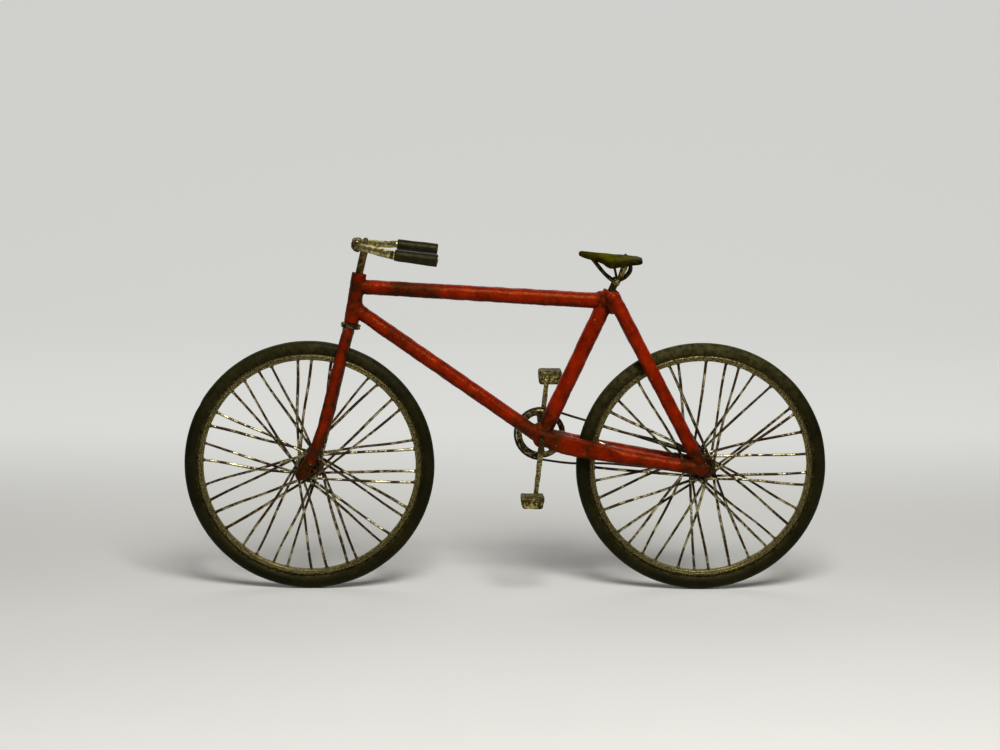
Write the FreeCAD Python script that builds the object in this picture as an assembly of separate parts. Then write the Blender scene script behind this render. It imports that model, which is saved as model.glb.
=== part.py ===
import FreeCAD, Part
import math
import os

# A handmade miniature bicycle with a diamond frame, two equal wire wheels, a swept handlebar and a
# leather saddle. Sizes are millimetres. X points forward, Y to the rider's left and Z up.
# Everything is modelled around the centre of the bottom bracket. The origin is then moved to the
# top of the saddle, where the rider sits.

V = FreeCAD.Vector

# Places of the main centres, from the bottom bracket
wheel_radius = 14.93
tyre_to_bracket = 4.11
front_axle_ahead = 27.6
axle_drop = 3.4
steering_tilt_degrees = 9.5
head_middle_ahead = 22.08
head_tube_length = 5.95
crown_above_tyre = 0.93
crown_below_head_tube = 1.2
seat_tube_lean_degrees = 24.9
seat_tube_length = 19.84
top_tube_below_seat_tube_top = 1.74
top_tube_below_head_tube_top = 1.57
down_tube_above_head_tube_end = 1.86

# Frame tubes
bracket_radius = 1.0
bracket_half_length = 1.5
seat_tube_radius = 0.9
top_tube_radius = 0.83
down_tube_radius = 0.84
head_tube_radius = 0.84
chain_stay_radius = 0.87
chain_stay_rear_radius = 0.76
chain_stay_front_behind = 0.6
chain_stay_beside_tyre = 0.12
seat_stay_radius = 0.78
seat_stay_rear_radius = 0.7
seat_stay_below_seat_tube_top = 1.3
seat_stay_behind_seat_tube = 0.55
seat_stay_tuck = 0.12
rear_end_aside = 2.2
rear_end_radius = 0.92
rear_end_inner_face = 1.41
rear_end_outer_face = 3.0
rear_axle_cover = 0.3

# Fits
running_gap = 0.05
seat_gap = 0.01

# Wheels
tyre_section_radius = 0.84
tyre_section_flats = 13
tyre_seat_gap = 0.02
rim_thickness = 0.6
rim_half_width = 0.5
rim_web_half_width = 0.34
rim_web_height = 0.2
spoke_radius = 0.15
spoke_tangent_radius = 1.3
spoke_rim_offset = 0.18
spoke_groups = 9
spoke_rim_degrees = [10.5, 6.0, 28.0, 21.5]
spoke_turns = [-1, -1, 1, 1]
spoke_sides = [1, -1, 1, -1]
flange_radius = 1.5
flange_thickness = 0.16
flange_clearance = 0.01
outer_spoke_lift = 0.1
axle_radius = 0.25
hub_radius = 0.5
front_flange_aside = 0.75
front_hub_half_length = 1.45
rear_flange_aside = 0.5
rear_hub_half_length = 1.35

# Fork and steering
crown_radius = 0.65
blade_beside_tyre = 0.21
crown_collar_radius = 0.7
ring_radius = 1.2
ring_thickness = 0.4
blade_radius = 0.68
blade_splay = 0.47
blade_knee_above_axle = 2.7
blade_knee_behind_axle = 1.15
blade_overrun = 1.0
front_axle_cover = 0.22
column_radius = 0.46
column_above_head_tube = 3.1
column_bend_above_head_tube = 0.3
column_lean_back = 0.16
lug_radius = 0.78
lug_half_length = 0.75
neck_radius = 0.52

# Handlebar
bar_radius = 0.42
bar_centre_above_head_tube = 3.55
bar_ahead_of_column = 0.95
bar_slope_degrees = 6.9
bar_straight_half = 3.3
bar_bend_reach = 0.5
grip_front_back = 4.75
grip_front_aside = 8.45
grip_radius = 0.65
grip_length = 5.2
grip_wall = 0.5
grip_splay_degrees = 4.0
grip_bend_reach = 0.5

# Saddle
seat_post_radius = 0.435
seat_post_depth = 4.2
seat_post_proud = 0.6
clamp_length = 0.6
clamp_radius = 0.5
saddle_length = 7.5
saddle_half_width = 3.0
saddle_nose_ahead_of_post = 4.37
saddle_top_above_post = 3.76
saddle_slope_degrees = 5.2
saddle_edge = 0.3
saddle_flank_drop = 1.66
# Each row is one cross-section, as shares of the length, the half width and the flank's drop
saddle_section_shares = [
    [0.0, 0.13, 0.28], [0.05, 0.2, 0.38], [0.15, 0.26, 0.53], [0.28, 0.33, 0.62], [0.38, 0.46, 0.73],
    [0.45, 0.56, 0.95], [0.52, 0.7, 1.0], [0.66, 0.92, 0.76], [0.84, 1.0, 0.53], [0.95, 0.88, 0.32],
    [1.0, 0.66, 0.2],
]
saddle_crown_share = 0.55
saddle_hollow_share = 0.62
rail_radius = 0.2
front_rail_length_share = 0.2
front_rail_aside = 0.32
middle_strut_width = 0.9
middle_strut_thickness = 0.3
middle_strut_length_share = 0.68
side_wire_aside = 0.9
side_wire_length_share = 0.54
rear_rail_length_share = 0.8
rear_rail_aside = 1.5
rear_rail_bow = 0.4
rear_rail_foot_aside = 0.4
side_wire_radius = 0.133
mount_length_share = 0.7

# Cranks, chainring and chain
crank_length = 6.75
crank_lean_degrees = 6.2
crank_axle_radius = 0.26
crank_boss_radius = 0.42
crank_tip_radius = 0.3
crank_thickness = 0.5
left_crank_inner_face = 2.85
right_crank_inner_face = 3.2
crank_axle_proud = 0.12
chainring_place = 2.9
chainring_thickness = 0.22
chainring_outer_radius = 2.8
chainring_inner_radius = 2.26
chainring_boss_radius = 0.75
chainring_arm_width = 0.5
chainring_arms = 2
chain_gap = 0.05
chain_height = 0.28
chain_width = 0.28
sprocket_place = 1.15
sprocket_outer_radius = 0.72
sprocket_thickness = 0.2
pedal_length = 3.0
pedal_width = 3.65
pedal_height = 1.3
pedal_edge = 0.2
pedal_gap = 0.15
pedal_pin_off_middle = 0.42
pedal_pin_radius = 0.2

overrun = 1.0

# Centres and directions worked out from the sizes
tyre_middle_radius = wheel_radius - tyre_section_radius
rim_groove_radius = tyre_section_radius + tyre_seat_gap
rim_inner_radius = tyre_middle_radius - rim_groove_radius - rim_thickness
chain_stay_front_aside = tyre_section_radius + chain_stay_radius + chain_stay_beside_tyre
seat_stay_top_aside = tyre_section_radius + seat_stay_radius - seat_stay_tuck
crown_half_length = tyre_section_radius + blade_radius + blade_beside_tyre
blade_end_aside = crown_half_length + blade_splay
rear_axle_end = rear_end_outer_face - rear_axle_cover
front_axle_end = blade_end_aside + blade_radius - front_axle_cover
bracket = V(0, 0, 0)
rear_axle = V(-wheel_radius - tyre_to_bracket, 0, -axle_drop)
front_axle = V(front_axle_ahead, 0, -axle_drop)
seat_lean = math.radians(seat_tube_lean_degrees)
seat_up = V(-math.sin(seat_lean), 0, math.cos(seat_lean))
seat_tube_top = seat_up * seat_tube_length
tilt = math.radians(steering_tilt_degrees)
head_up = V(-math.sin(tilt), 0, math.cos(tilt))
crown_up = wheel_radius + crown_above_tyre - axle_drop
head_middle_above_crown = (crown_below_head_tube + head_tube_length / 2) * math.cos(tilt)
head_middle = V(head_middle_ahead, 0, crown_up + head_middle_above_crown)
head_top = head_middle + head_up * (head_tube_length / 2)
head_bottom = head_middle - head_up * (head_tube_length / 2)
across = V(0, 1, 0)


def side(point, aside):
    return V(point.x, aside, point.z)


def rod(start, end, radius):
    line = end - start
    return Part.makeCylinder(radius, line.Length, start, line)


def ball(centre, radius):
    return Part.makeSphere(radius, centre)


def round_rod(start, end, radius):
    return rod(start, end, radius).fuse(ball(start, radius)).fuse(ball(end, radius)).removeSplitter()


def tapered_rod(start, end, start_radius, end_radius):
    """A round rod that narrows, with round ends, turned from one profile."""
    line = end - start
    length = line.Length
    slant = 1 / math.sqrt(2)
    low = V(0, 0, -start_radius)
    low_side = V(start_radius, 0, 0)
    high_side = V(end_radius, 0, length)
    high = V(0, 0, length + end_radius)
    edges = [
        Part.Arc(low, V(start_radius * slant, 0, -start_radius * slant), low_side).toShape(),
        Part.LineSegment(low_side, high_side).toShape(),
        Part.Arc(high_side, V(end_radius * slant, 0, length + end_radius * slant), high).toShape(),
        Part.LineSegment(high, low).toShape(),
    ]
    turned = Part.Face(Part.Wire(edges)).revolve(V(0, 0, 0), V(0, 0, 1), 360)
    turned.Placement = FreeCAD.Placement(start, FreeCAD.Rotation(V(0, 0, 1), line))
    return turned


def cross_rod(centre, inner, outer, radius):
    return rod(side(centre, inner), side(centre, outer), radius)


def mirrored(shape):
    return shape.mirror(V(0, 0, 0), across)


def tangent_arc_points(start, direction, through, extra):
    """Middle and end of the arc that leaves start along direction, meets through and goes on a bit."""
    chord = through - start
    unit = V(direction).normalize()
    normal = (chord - unit * chord.dot(unit)).normalize()
    radius = chord.dot(chord) / (2 * chord.dot(normal))
    centre = start + normal * radius
    turn = 2 * math.asin(chord.Length / (2 * radius)) + extra / radius

    def place(angle):
        return centre - normal * (radius * math.cos(angle)) + unit * (radius * math.sin(angle))

    return place(turn / 2), place(turn)


def rounded_path(points, reaches):
    """A wire of straight runs through the points, each inner corner rounded over its reach."""
    edges = []
    last = points[0]
    for before, corner, after, reach in zip(points, points[1:], points[2:], reaches):
        into = (corner - before).normalize()
        out = (after - corner).normalize()
        turn = math.acos(into.dot(out))
        radius = reach / math.tan(turn / 2)
        start = corner - into * reach
        end = corner + out * reach
        bisector = (out - into).normalize()
        middle = corner + bisector * (radius / math.cos(turn / 2) - radius)
        edges.append(Part.LineSegment(last, start).toShape())
        edges.append(Part.Arc(start, middle, end).toShape())
        last = end
    edges.append(Part.LineSegment(last, points[-1]).toShape())
    return Part.Wire(edges)


def swept_tube(path, radius):
    start = path.Edges[0]
    direction = start.tangentAt(start.FirstParameter)
    ring = Part.Wire([Part.makeCircle(radius, start.valueAt(start.FirstParameter), direction)])
    return path.makePipeShell([ring], True, False)


# Frame
def bracket_shell():
    shell = cross_rod(bracket, -bracket_half_length, bracket_half_length, bracket_radius)
    bore = cross_rod(bracket, -bracket_half_length - overrun, bracket_half_length + overrun,
                     crank_axle_radius + running_gap)
    return shell.cut(bore)


def solid_bracket():
    return cross_rod(bracket, -bracket_half_length, bracket_half_length, bracket_radius)


def solid_seat_tube():
    return rod(bracket, seat_tube_top, seat_tube_radius)


def solid_head_tube():
    return rod(head_bottom, head_top, head_tube_radius)


def seat_tube():
    bore = rod(seat_tube_top - seat_up * seat_post_depth, seat_tube_top + seat_up * overrun,
               seat_post_radius + seat_gap)
    return solid_seat_tube().cut(solid_bracket()).cut(bore)


def head_tube():
    bore = rod(head_bottom - head_up * overrun, head_top + head_up * overrun, column_radius + running_gap)
    return solid_head_tube().cut(bore)


def top_tube():
    rear = seat_tube_top - seat_up * top_tube_below_seat_tube_top
    front = head_top - head_up * top_tube_below_head_tube_top
    return largest(rod(rear, front, top_tube_radius).cut(solid_seat_tube()).cut(solid_head_tube()))


def down_tube():
    front = head_bottom + head_up * down_tube_above_head_tube_end
    tube = rod(bracket, front, down_tube_radius)
    ring_room = rod(head_bottom - head_up * overrun, head_bottom, ring_radius + running_gap)
    cutters = [solid_bracket(), solid_seat_tube(), solid_head_tube(), ring_room]
    for cutter in cutters:
        tube = tube.cut(cutter)
    return largest(tube)


def largest(shape):
    return max(shape.Solids, key=lambda solid: solid.Volume)


def solid_rear_end():
    return cross_rod(rear_axle, rear_end_inner_face, rear_end_outer_face, rear_end_radius)


def rear_axle_bore():
    """A blind hole: solder and paint close it over the axle's end."""
    return cross_rod(rear_axle, 0, rear_axle_end + seat_gap, axle_radius + seat_gap)


def rear_end():
    return solid_rear_end().cut(rear_axle_bore())


def chain_stay():
    front = V(-chain_stay_front_behind, chain_stay_front_aside, 0)
    stay = tapered_rod(front, side(rear_axle, rear_end_aside), chain_stay_radius, chain_stay_rear_radius)
    axle_room = cross_rod(bracket, 0, rear_end_outer_face + overrun, crank_axle_radius + running_gap)
    cutters = [solid_bracket(), solid_rear_end(), axle_room, rear_axle_bore()]
    for cutter in cutters:
        stay = stay.cut(cutter)
    return largest(stay)


def seat_stay():
    on_seat_tube = seat_tube_top - seat_up * seat_stay_below_seat_tube_top
    top = V(on_seat_tube.x - seat_stay_behind_seat_tube, seat_stay_top_aside, on_seat_tube.z)
    stay = tapered_rod(top, side(rear_axle, rear_end_aside), seat_stay_radius, seat_stay_rear_radius)
    cutters = [solid_seat_tube(), solid_rear_end(), chain_stay(), rear_axle_bore()]
    for cutter in cutters:
        stay = stay.cut(cutter)
    return largest(stay)


# Wheels, each built at the origin with its axle along Y
def ring_of(profile):
    return Part.Face(profile).revolve(V(0, 0, 0), across, 360)


def tyre():
    """A round section drawn in flats, with one of them against the rim."""
    step = math.tau / tyre_section_flats
    corners = []
    for index in range(tyre_section_flats):
        angle = math.pi + step * (index + 1 / 2)
        corners.append(V(tyre_middle_radius + tyre_section_radius * math.cos(angle),
                         tyre_section_radius * math.sin(angle), 0))
    return ring_of(Part.makePolygon(corners + corners[:1]))


def rim():
    lip = tyre_middle_radius - math.sqrt(rim_groove_radius ** 2 - rim_half_width ** 2)
    floor = tyre_middle_radius - rim_groove_radius
    left_lip = V(lip, rim_half_width, 0)
    right_lip = V(lip, -rim_half_width, 0)
    shoulder = rim_inner_radius + rim_web_height
    corners = [
        left_lip, V(shoulder, rim_half_width, 0), V(rim_inner_radius, rim_web_half_width, 0),
        V(rim_inner_radius, -rim_web_half_width, 0), V(shoulder, -rim_half_width, 0), right_lip,
    ]
    edges = [Part.LineSegment(start, end).toShape() for start, end in zip(corners, corners[1:])]
    edges.append(Part.Arc(right_lip, V(floor, 0, 0), left_lip).toShape())
    return ring_of(Part.Wire(edges))


def spoke(flange_aside, rim_degrees, turn, face, rim_cutter):
    """One wire from a flange, where it lies tangent to the hub, out to the rim's inner face."""
    rim_angle = math.radians(rim_degrees)
    swing = math.acos(spoke_tangent_radius / rim_inner_radius)
    foot_angle = rim_angle + turn * swing
    lift = flange_thickness / 2 + spoke_radius + flange_clearance
    if turn > 0:
        foot_aside = flange_aside + lift + outer_spoke_lift
    else:
        foot_aside = flange_aside - lift
    foot = V(spoke_tangent_radius * math.cos(foot_angle), face * foot_aside,
             spoke_tangent_radius * math.sin(foot_angle))
    end = V(rim_inner_radius * math.cos(rim_angle), face * spoke_rim_offset,
            rim_inner_radius * math.sin(rim_angle))
    reach = (end - foot).normalize() * (rim_web_height * 2)
    return largest(rod(foot, end + reach, spoke_radius).cut(rim_cutter))


def spokes(flange_aside):
    rim_cutter = Part.makeCylinder(wheel_radius, 2 * tyre_section_radius, V(0, -tyre_section_radius, 0), across)
    rim_cutter = rim_cutter.cut(
        Part.makeCylinder(rim_inner_radius, 2 * tyre_section_radius, V(0, -tyre_section_radius, 0), across))
    wires = []
    for group in range(spoke_groups):
        start = group * 360 / spoke_groups
        for rim_degrees, turn, face in zip(spoke_rim_degrees, spoke_turns, spoke_sides):
            wires.append(spoke(flange_aside, start + rim_degrees, turn, face, rim_cutter))
    return Part.makeCompound(wires)


def hub(flange_aside, half_length):
    body = cross_rod(bracket, -half_length, half_length, hub_radius)
    for place in [-flange_aside, flange_aside]:
        flange = cross_rod(bracket, place - flange_thickness / 2, place + flange_thickness / 2, flange_radius)
        body = body.fuse(flange)
    bore = cross_rod(bracket, -half_length - overrun, half_length + overrun, axle_radius + running_gap)
    return body.cut(bore).removeSplitter()


def sprocket():
    disc = cross_rod(bracket, -sprocket_place - sprocket_thickness / 2,
                     -sprocket_place + sprocket_thickness / 2, sprocket_outer_radius)
    return disc.cut(cross_rod(bracket, -sprocket_place - overrun, -sprocket_place + overrun,
                              hub_radius + seat_gap))


def at(shape, place):
    return shape.translated(place)


# Fork and steering column
crown_middle = head_bottom - head_up * crown_below_head_tube


def crown():
    bar = round_rod(side(crown_middle, -crown_half_length), side(crown_middle, crown_half_length), crown_radius)
    collar = rod(crown_middle, head_bottom - head_up * (ring_thickness + running_gap), crown_collar_radius)
    bore = rod(crown_middle, head_bottom, column_radius + seat_gap)
    return bar.fuse(collar).cut(bore).removeSplitter()


def headset_ring():
    top = head_bottom - head_up * running_gap
    ring = rod(top - head_up * ring_thickness, top, ring_radius)
    return ring.cut(rod(top - head_up * overrun, top + head_up * overrun, column_radius + seat_gap))


def blade_path():
    """The blade's middle line, flat in the wheel's plane, and its tip."""
    knee = front_axle + V(-blade_knee_behind_axle, 0, blade_knee_above_axle)
    direction = knee - crown_middle
    middle, tip = tangent_arc_points(knee, direction, front_axle, blade_overrun)
    path = Part.Wire([Part.LineSegment(crown_middle, knee).toShape(), Part.Arc(knee, middle, tip).toShape()])
    return path, tip


def fork_blade():
    path, tip = blade_path()
    flat = swept_tube(path, blade_radius).fuse(ball(tip, blade_radius)).removeSplitter()
    flat = flat.translated(V(0, crown_half_length, 0))
    splay = math.degrees(math.atan2(blade_end_aside - crown_half_length, crown_middle.z - front_axle.z))
    flat.rotate(side(crown_middle, crown_half_length), V(1, 0, 0), splay)
    bore = cross_rod(front_axle, 0, front_axle_end + seat_gap, axle_radius + seat_gap)
    crown_cutter = round_rod(side(crown_middle, -crown_half_length), side(crown_middle, crown_half_length),
                             crown_radius)
    return largest(flat.cut(crown_cutter).cut(bore))


column_bend = head_top + head_up * column_bend_above_head_tube
column_end = head_top + head_up * column_above_head_tube - V(column_lean_back, 0, 0)
bar_middle = head_top + head_up * bar_centre_above_head_tube + V(bar_ahead_of_column, 0, 0)


def solid_lug():
    """The barrel round the bar and the neck that joins it to the column's end."""
    barrel = cross_rod(bar_middle, -lug_half_length, lug_half_length, lug_radius)
    neck = rod(column_end, bar_middle, neck_radius).fuse(ball(column_end, neck_radius))
    return barrel.fuse(neck).removeSplitter()


def handlebar_lug():
    return solid_lug().cut(cross_rod(bar_middle, -overrun, overrun, bar_radius + seat_gap))


def steering_column():
    """Straight inside the head tube, then bent back a little up to the handlebar."""
    upper = rod(column_bend, column_end, column_radius).fuse(ball(column_bend, column_radius))
    return rod(crown_middle, column_bend, column_radius).fuse(upper).cut(solid_lug()).removeSplitter()


# Handlebar, drawn flat and then tilted about its middle
def bar_plan():
    splay = math.radians(grip_splay_degrees)
    along = V(-math.cos(splay), math.sin(splay), 0)
    grip_front = V(-grip_front_back, grip_front_aside, 0)
    corner = grip_front - along * grip_bend_reach
    return [V(0, bar_straight_half, 0), corner, grip_front + along * (grip_length - grip_wall)]


def in_bar_place(shape):
    shape = shape.translated(bar_middle)
    shape.rotate(bar_middle, across, -bar_slope_degrees)
    return shape


def handlebar():
    left = bar_plan()
    right = [V(point.x, -point.y, 0) for point in reversed(left)]
    path = rounded_path(right + left, [grip_bend_reach, bar_bend_reach, bar_bend_reach, grip_bend_reach])
    return in_bar_place(swept_tube(path, bar_radius))


def grip():
    bend, corner, bar_end = bar_plan()
    direction = (bar_end - corner).normalize()
    start = bar_end - direction * (grip_length - grip_wall)
    outer = rod(start, start + direction * grip_length, grip_radius)
    inner = rod(start - direction * overrun, bar_end, bar_radius + seat_gap)
    return in_bar_place(outer.cut(inner))


# Saddle, with its own height and slope from the seat post
post_top = seat_tube_top + seat_up * seat_post_proud
saddle_slope = math.radians(saddle_slope_degrees)
saddle_back = V(-math.cos(saddle_slope), 0, -math.sin(saddle_slope))
saddle_up = V(-math.sin(saddle_slope), 0, math.cos(saddle_slope))
saddle_nose = post_top + V(saddle_nose_ahead_of_post, 0, saddle_top_above_post)


def saddle_point(length_share, aside, below):
    place = saddle_nose + saddle_back * (saddle_length * length_share) - saddle_up * below
    return V(place.x, aside, place.z)


def between(shares, column, length_share):
    """A saddle share at one place along the length, straight between the rows."""
    for low, high in zip(shares, shares[1:]):
        if length_share <= high[0]:
            part = (length_share - low[0]) / (high[0] - low[0])
            return low[column] + part * (high[column] - low[column])
    return shares[-1][column]


def saddle_sizes(length_share):
    width = between(saddle_section_shares, 1, length_share) * saddle_half_width
    drop = between(saddle_section_shares, 2, length_share) * saddle_flank_drop
    return width, drop


def saddle_section(length_share):
    width, drop = saddle_sizes(length_share)
    shoulder = drop * saddle_crown_share
    hollow = drop * saddle_hollow_share
    corner_edge = min(saddle_edge, drop / 2)
    left_top = saddle_point(length_share, width, drop - corner_edge)
    left_low = saddle_point(length_share, width, drop)
    right_top = saddle_point(length_share, -width, drop - corner_edge)
    right_low = saddle_point(length_share, -width, drop)
    middle_top = saddle_point(length_share, 0, 0)
    middle_low = saddle_point(length_share, 0, hollow)
    edges = [
        Part.Arc(right_top, middle_top, left_top).toShape(),
        Part.LineSegment(left_top, left_low).toShape(),
        Part.Arc(left_low, middle_low, right_low).toShape(),
        Part.LineSegment(right_low, right_top).toShape(),
    ]
    return Part.Wire(edges)


def saddle():
    sections = [saddle_section(row[0]) for row in saddle_section_shares]
    return Part.makeLoft(sections, True, False)


def under_saddle(length_share, aside):
    """A point just under the saddle's hollow side, on the arc of its cross-section."""
    width, drop = saddle_sizes(length_share)
    hollow = drop * saddle_hollow_share
    rise = (drop - hollow) * (aside / width) ** 2
    return saddle_point(length_share, aside, hollow + rise + rail_radius)


clamp_top = post_top + seat_up * clamp_length


def seat_post():
    return rod(seat_tube_top - seat_up * (seat_post_depth - seat_gap), post_top, seat_post_radius)


def saddle_clamp():
    return rod(post_top, clamp_top, clamp_radius)


def front_rails():
    wires = []
    for aside in [-front_rail_aside, front_rail_aside]:
        low = side(post_top + seat_up * (clamp_length / 2) + V(clamp_radius, 0, 0), aside)
        high = under_saddle(front_rail_length_share, aside)
        wire = round_rod(low, high, rail_radius).cut(saddle_clamp()).cut(seat_post())
        wires.append(largest(wire.cut(saddle())))
    return Part.makeCompound(wires)


def middle_strut():
    low = clamp_top
    high = under_saddle(middle_strut_length_share, 0)
    length = (high - low).Length + rail_radius
    strut = Part.makeBox(middle_strut_width, middle_strut_thickness, length,
                         V(-middle_strut_width / 2, -middle_strut_thickness / 2, 0))
    line = high - low
    strut.rotate(V(0, 0, 0), across, math.degrees(math.atan2(line.x, line.z)))
    return largest(strut.translated(low).cut(saddle_clamp()).cut(saddle()))


def side_wires():
    wires = []
    for face in [-1, 1]:
        low = side(clamp_top, face * (clamp_radius - side_wire_radius))
        high = under_saddle(side_wire_length_share, face * side_wire_aside)
        wires.append(largest(round_rod(low, high, side_wire_radius).cut(saddle_clamp()).cut(saddle())))
    return Part.makeCompound(wires)


def rear_rails():
    wires = []
    for face in [-1, 1]:
        low = side(post_top + seat_up * (clamp_length / 2) - V(clamp_radius, 0, 0), face * rear_rail_foot_aside)
        high = under_saddle(rear_rail_length_share, face * rear_rail_aside)
        middle = (low + high) / 2 + V(-rear_rail_bow, 0, -rear_rail_bow / 2)
        path = Part.Wire([Part.Arc(low, middle, high).toShape()])
        wire = swept_tube(path, rail_radius).fuse(ball(high, rail_radius)).fuse(ball(low, rail_radius))
        wires.append(largest(wire.cut(saddle_clamp()).cut(saddle())))
    return Part.makeCompound(wires)


# Cranks and chain
crank_lean = math.radians(crank_lean_degrees)
left_pedal_centre = V(crank_length * math.sin(crank_lean), 0, -crank_length * math.cos(crank_lean))
right_pedal_centre = left_pedal_centre * -1


def crank(centre, inner, outer):
    """A tapered arm with round ends, from the axle to the pedal pin."""
    line = V(centre).normalize()
    aside = V(line.z, 0, -line.x)
    points = [
        aside * crank_boss_radius, centre + aside * crank_tip_radius,
        centre - aside * crank_tip_radius, aside * -crank_boss_radius,
    ]
    corners = [side(point, inner) for point in points]
    arm = Part.Face(Part.makePolygon(corners + corners[:1])).extrude(V(0, outer - inner, 0))
    arm = arm.fuse(cross_rod(bracket, inner, outer, crank_boss_radius))
    arm = arm.fuse(cross_rod(centre, inner, outer, crank_tip_radius))
    arm = arm.cut(cross_rod(bracket, inner - overrun * (outer - inner), outer + overrun * (outer - inner),
                            crank_axle_radius + seat_gap))
    return arm.cut(cross_rod(centre, inner, outer, pedal_pin_radius + seat_gap)).removeSplitter()


left_crank_outer_face = left_crank_inner_face + crank_thickness
right_crank_outer_face = right_crank_inner_face + crank_thickness


def chainring():
    inner_face = -chainring_place + chainring_thickness / 2
    outer_face = -chainring_place - chainring_thickness / 2
    ring = cross_rod(bracket, outer_face, inner_face, chainring_outer_radius)
    ring = ring.cut(cross_rod(bracket, outer_face - overrun, inner_face + overrun, chainring_inner_radius))
    wheel = ring.fuse(cross_rod(bracket, outer_face, inner_face, chainring_boss_radius))
    reach = (chainring_inner_radius + chainring_outer_radius) / 2
    for index in range(chainring_arms):
        arm = Part.makeBox(reach, chainring_thickness, chainring_arm_width,
                           V(0, outer_face, -chainring_arm_width / 2))
        arm.rotate(V(0, 0, 0), across, crank_lean_degrees + 90 + index * 360 / chainring_arms)
        wheel = wheel.fuse(arm)
    bore = cross_rod(bracket, outer_face - overrun, inner_face + overrun, crank_axle_radius + seat_gap)
    return wheel.cut(bore).removeSplitter()


def band(centre, place, inner_radius, start_angle, end_angle):
    """Part of the chain that lies round a wheel, from one angle to the other."""
    corners = [
        V(inner_radius, -place - chain_width / 2, 0), V(inner_radius + chain_height, -place - chain_width / 2, 0),
        V(inner_radius + chain_height, -place + chain_width / 2, 0), V(inner_radius, -place + chain_width / 2, 0),
    ]
    face = Part.Face(Part.makePolygon(corners + corners[:1]))
    face.rotate(V(0, 0, 0), across, -math.degrees(start_angle))
    piece = face.revolve(V(0, 0, 0), across, -math.degrees(end_angle - start_angle))
    return piece.translated(centre)


def chain_section(centre, place, inner_radius, angle):
    outward = V(math.cos(angle), 0, math.sin(angle))
    inner = centre + outward * inner_radius
    outer = centre + outward * (inner_radius + chain_height)
    corners = [
        side(inner, -place - chain_width / 2), side(outer, -place - chain_width / 2),
        side(outer, -place + chain_width / 2), side(inner, -place + chain_width / 2),
    ]
    return Part.makePolygon(corners + corners[:1])


def chain():
    ring_inner = chainring_outer_radius + chain_gap
    sprocket_inner = sprocket_outer_radius + chain_gap
    line = rear_axle - bracket
    line_angle = math.atan2(line.z, line.x)
    lead = math.acos((ring_inner - sprocket_inner) / line.Length)
    upper = line_angle - lead
    lower = line_angle + lead
    turn = math.tau
    loop = band(bracket, chainring_place, ring_inner, lower - turn, upper)
    loop = loop.fuse(band(rear_axle, sprocket_place, sprocket_inner, upper, lower))
    for angle in [upper, lower]:
        front = chain_section(bracket, chainring_place, ring_inner, angle)
        back = chain_section(rear_axle, sprocket_place, sprocket_inner, angle)
        loop = loop.fuse(Part.makeLoft([front, back], True, True))
    return loop.removeSplitter()


def crank_axle():
    return cross_rod(bracket, -right_crank_outer_face - crank_axle_proud,
                     left_crank_outer_face + crank_axle_proud, crank_axle_radius)


def pedal(centre, inner, face):
    block = Part.makeBox(pedal_length, pedal_width, pedal_height,
                         V(-pedal_length / 2, -pedal_width / 2, -pedal_height / 2))
    block = block.makeChamfer(pedal_edge, [edge for edge in block.Edges if abs(edge.tangentAt(0).y) > 0.5])
    pin_bore = cross_rod(bracket, -pedal_width, pedal_width, pedal_pin_radius + running_gap)
    block = block.translated(V(face * pedal_pin_off_middle, 0, 0)).cut(pin_bore)
    return block.translated(side(centre, face * (inner + pedal_gap + pedal_width / 2)))


def pedal_pin(centre, crank_inner, crank_outer, face):
    end = crank_outer + 2 * pedal_gap + pedal_width
    return cross_rod(centre, face * crank_inner, face * end, pedal_pin_radius)


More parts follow.
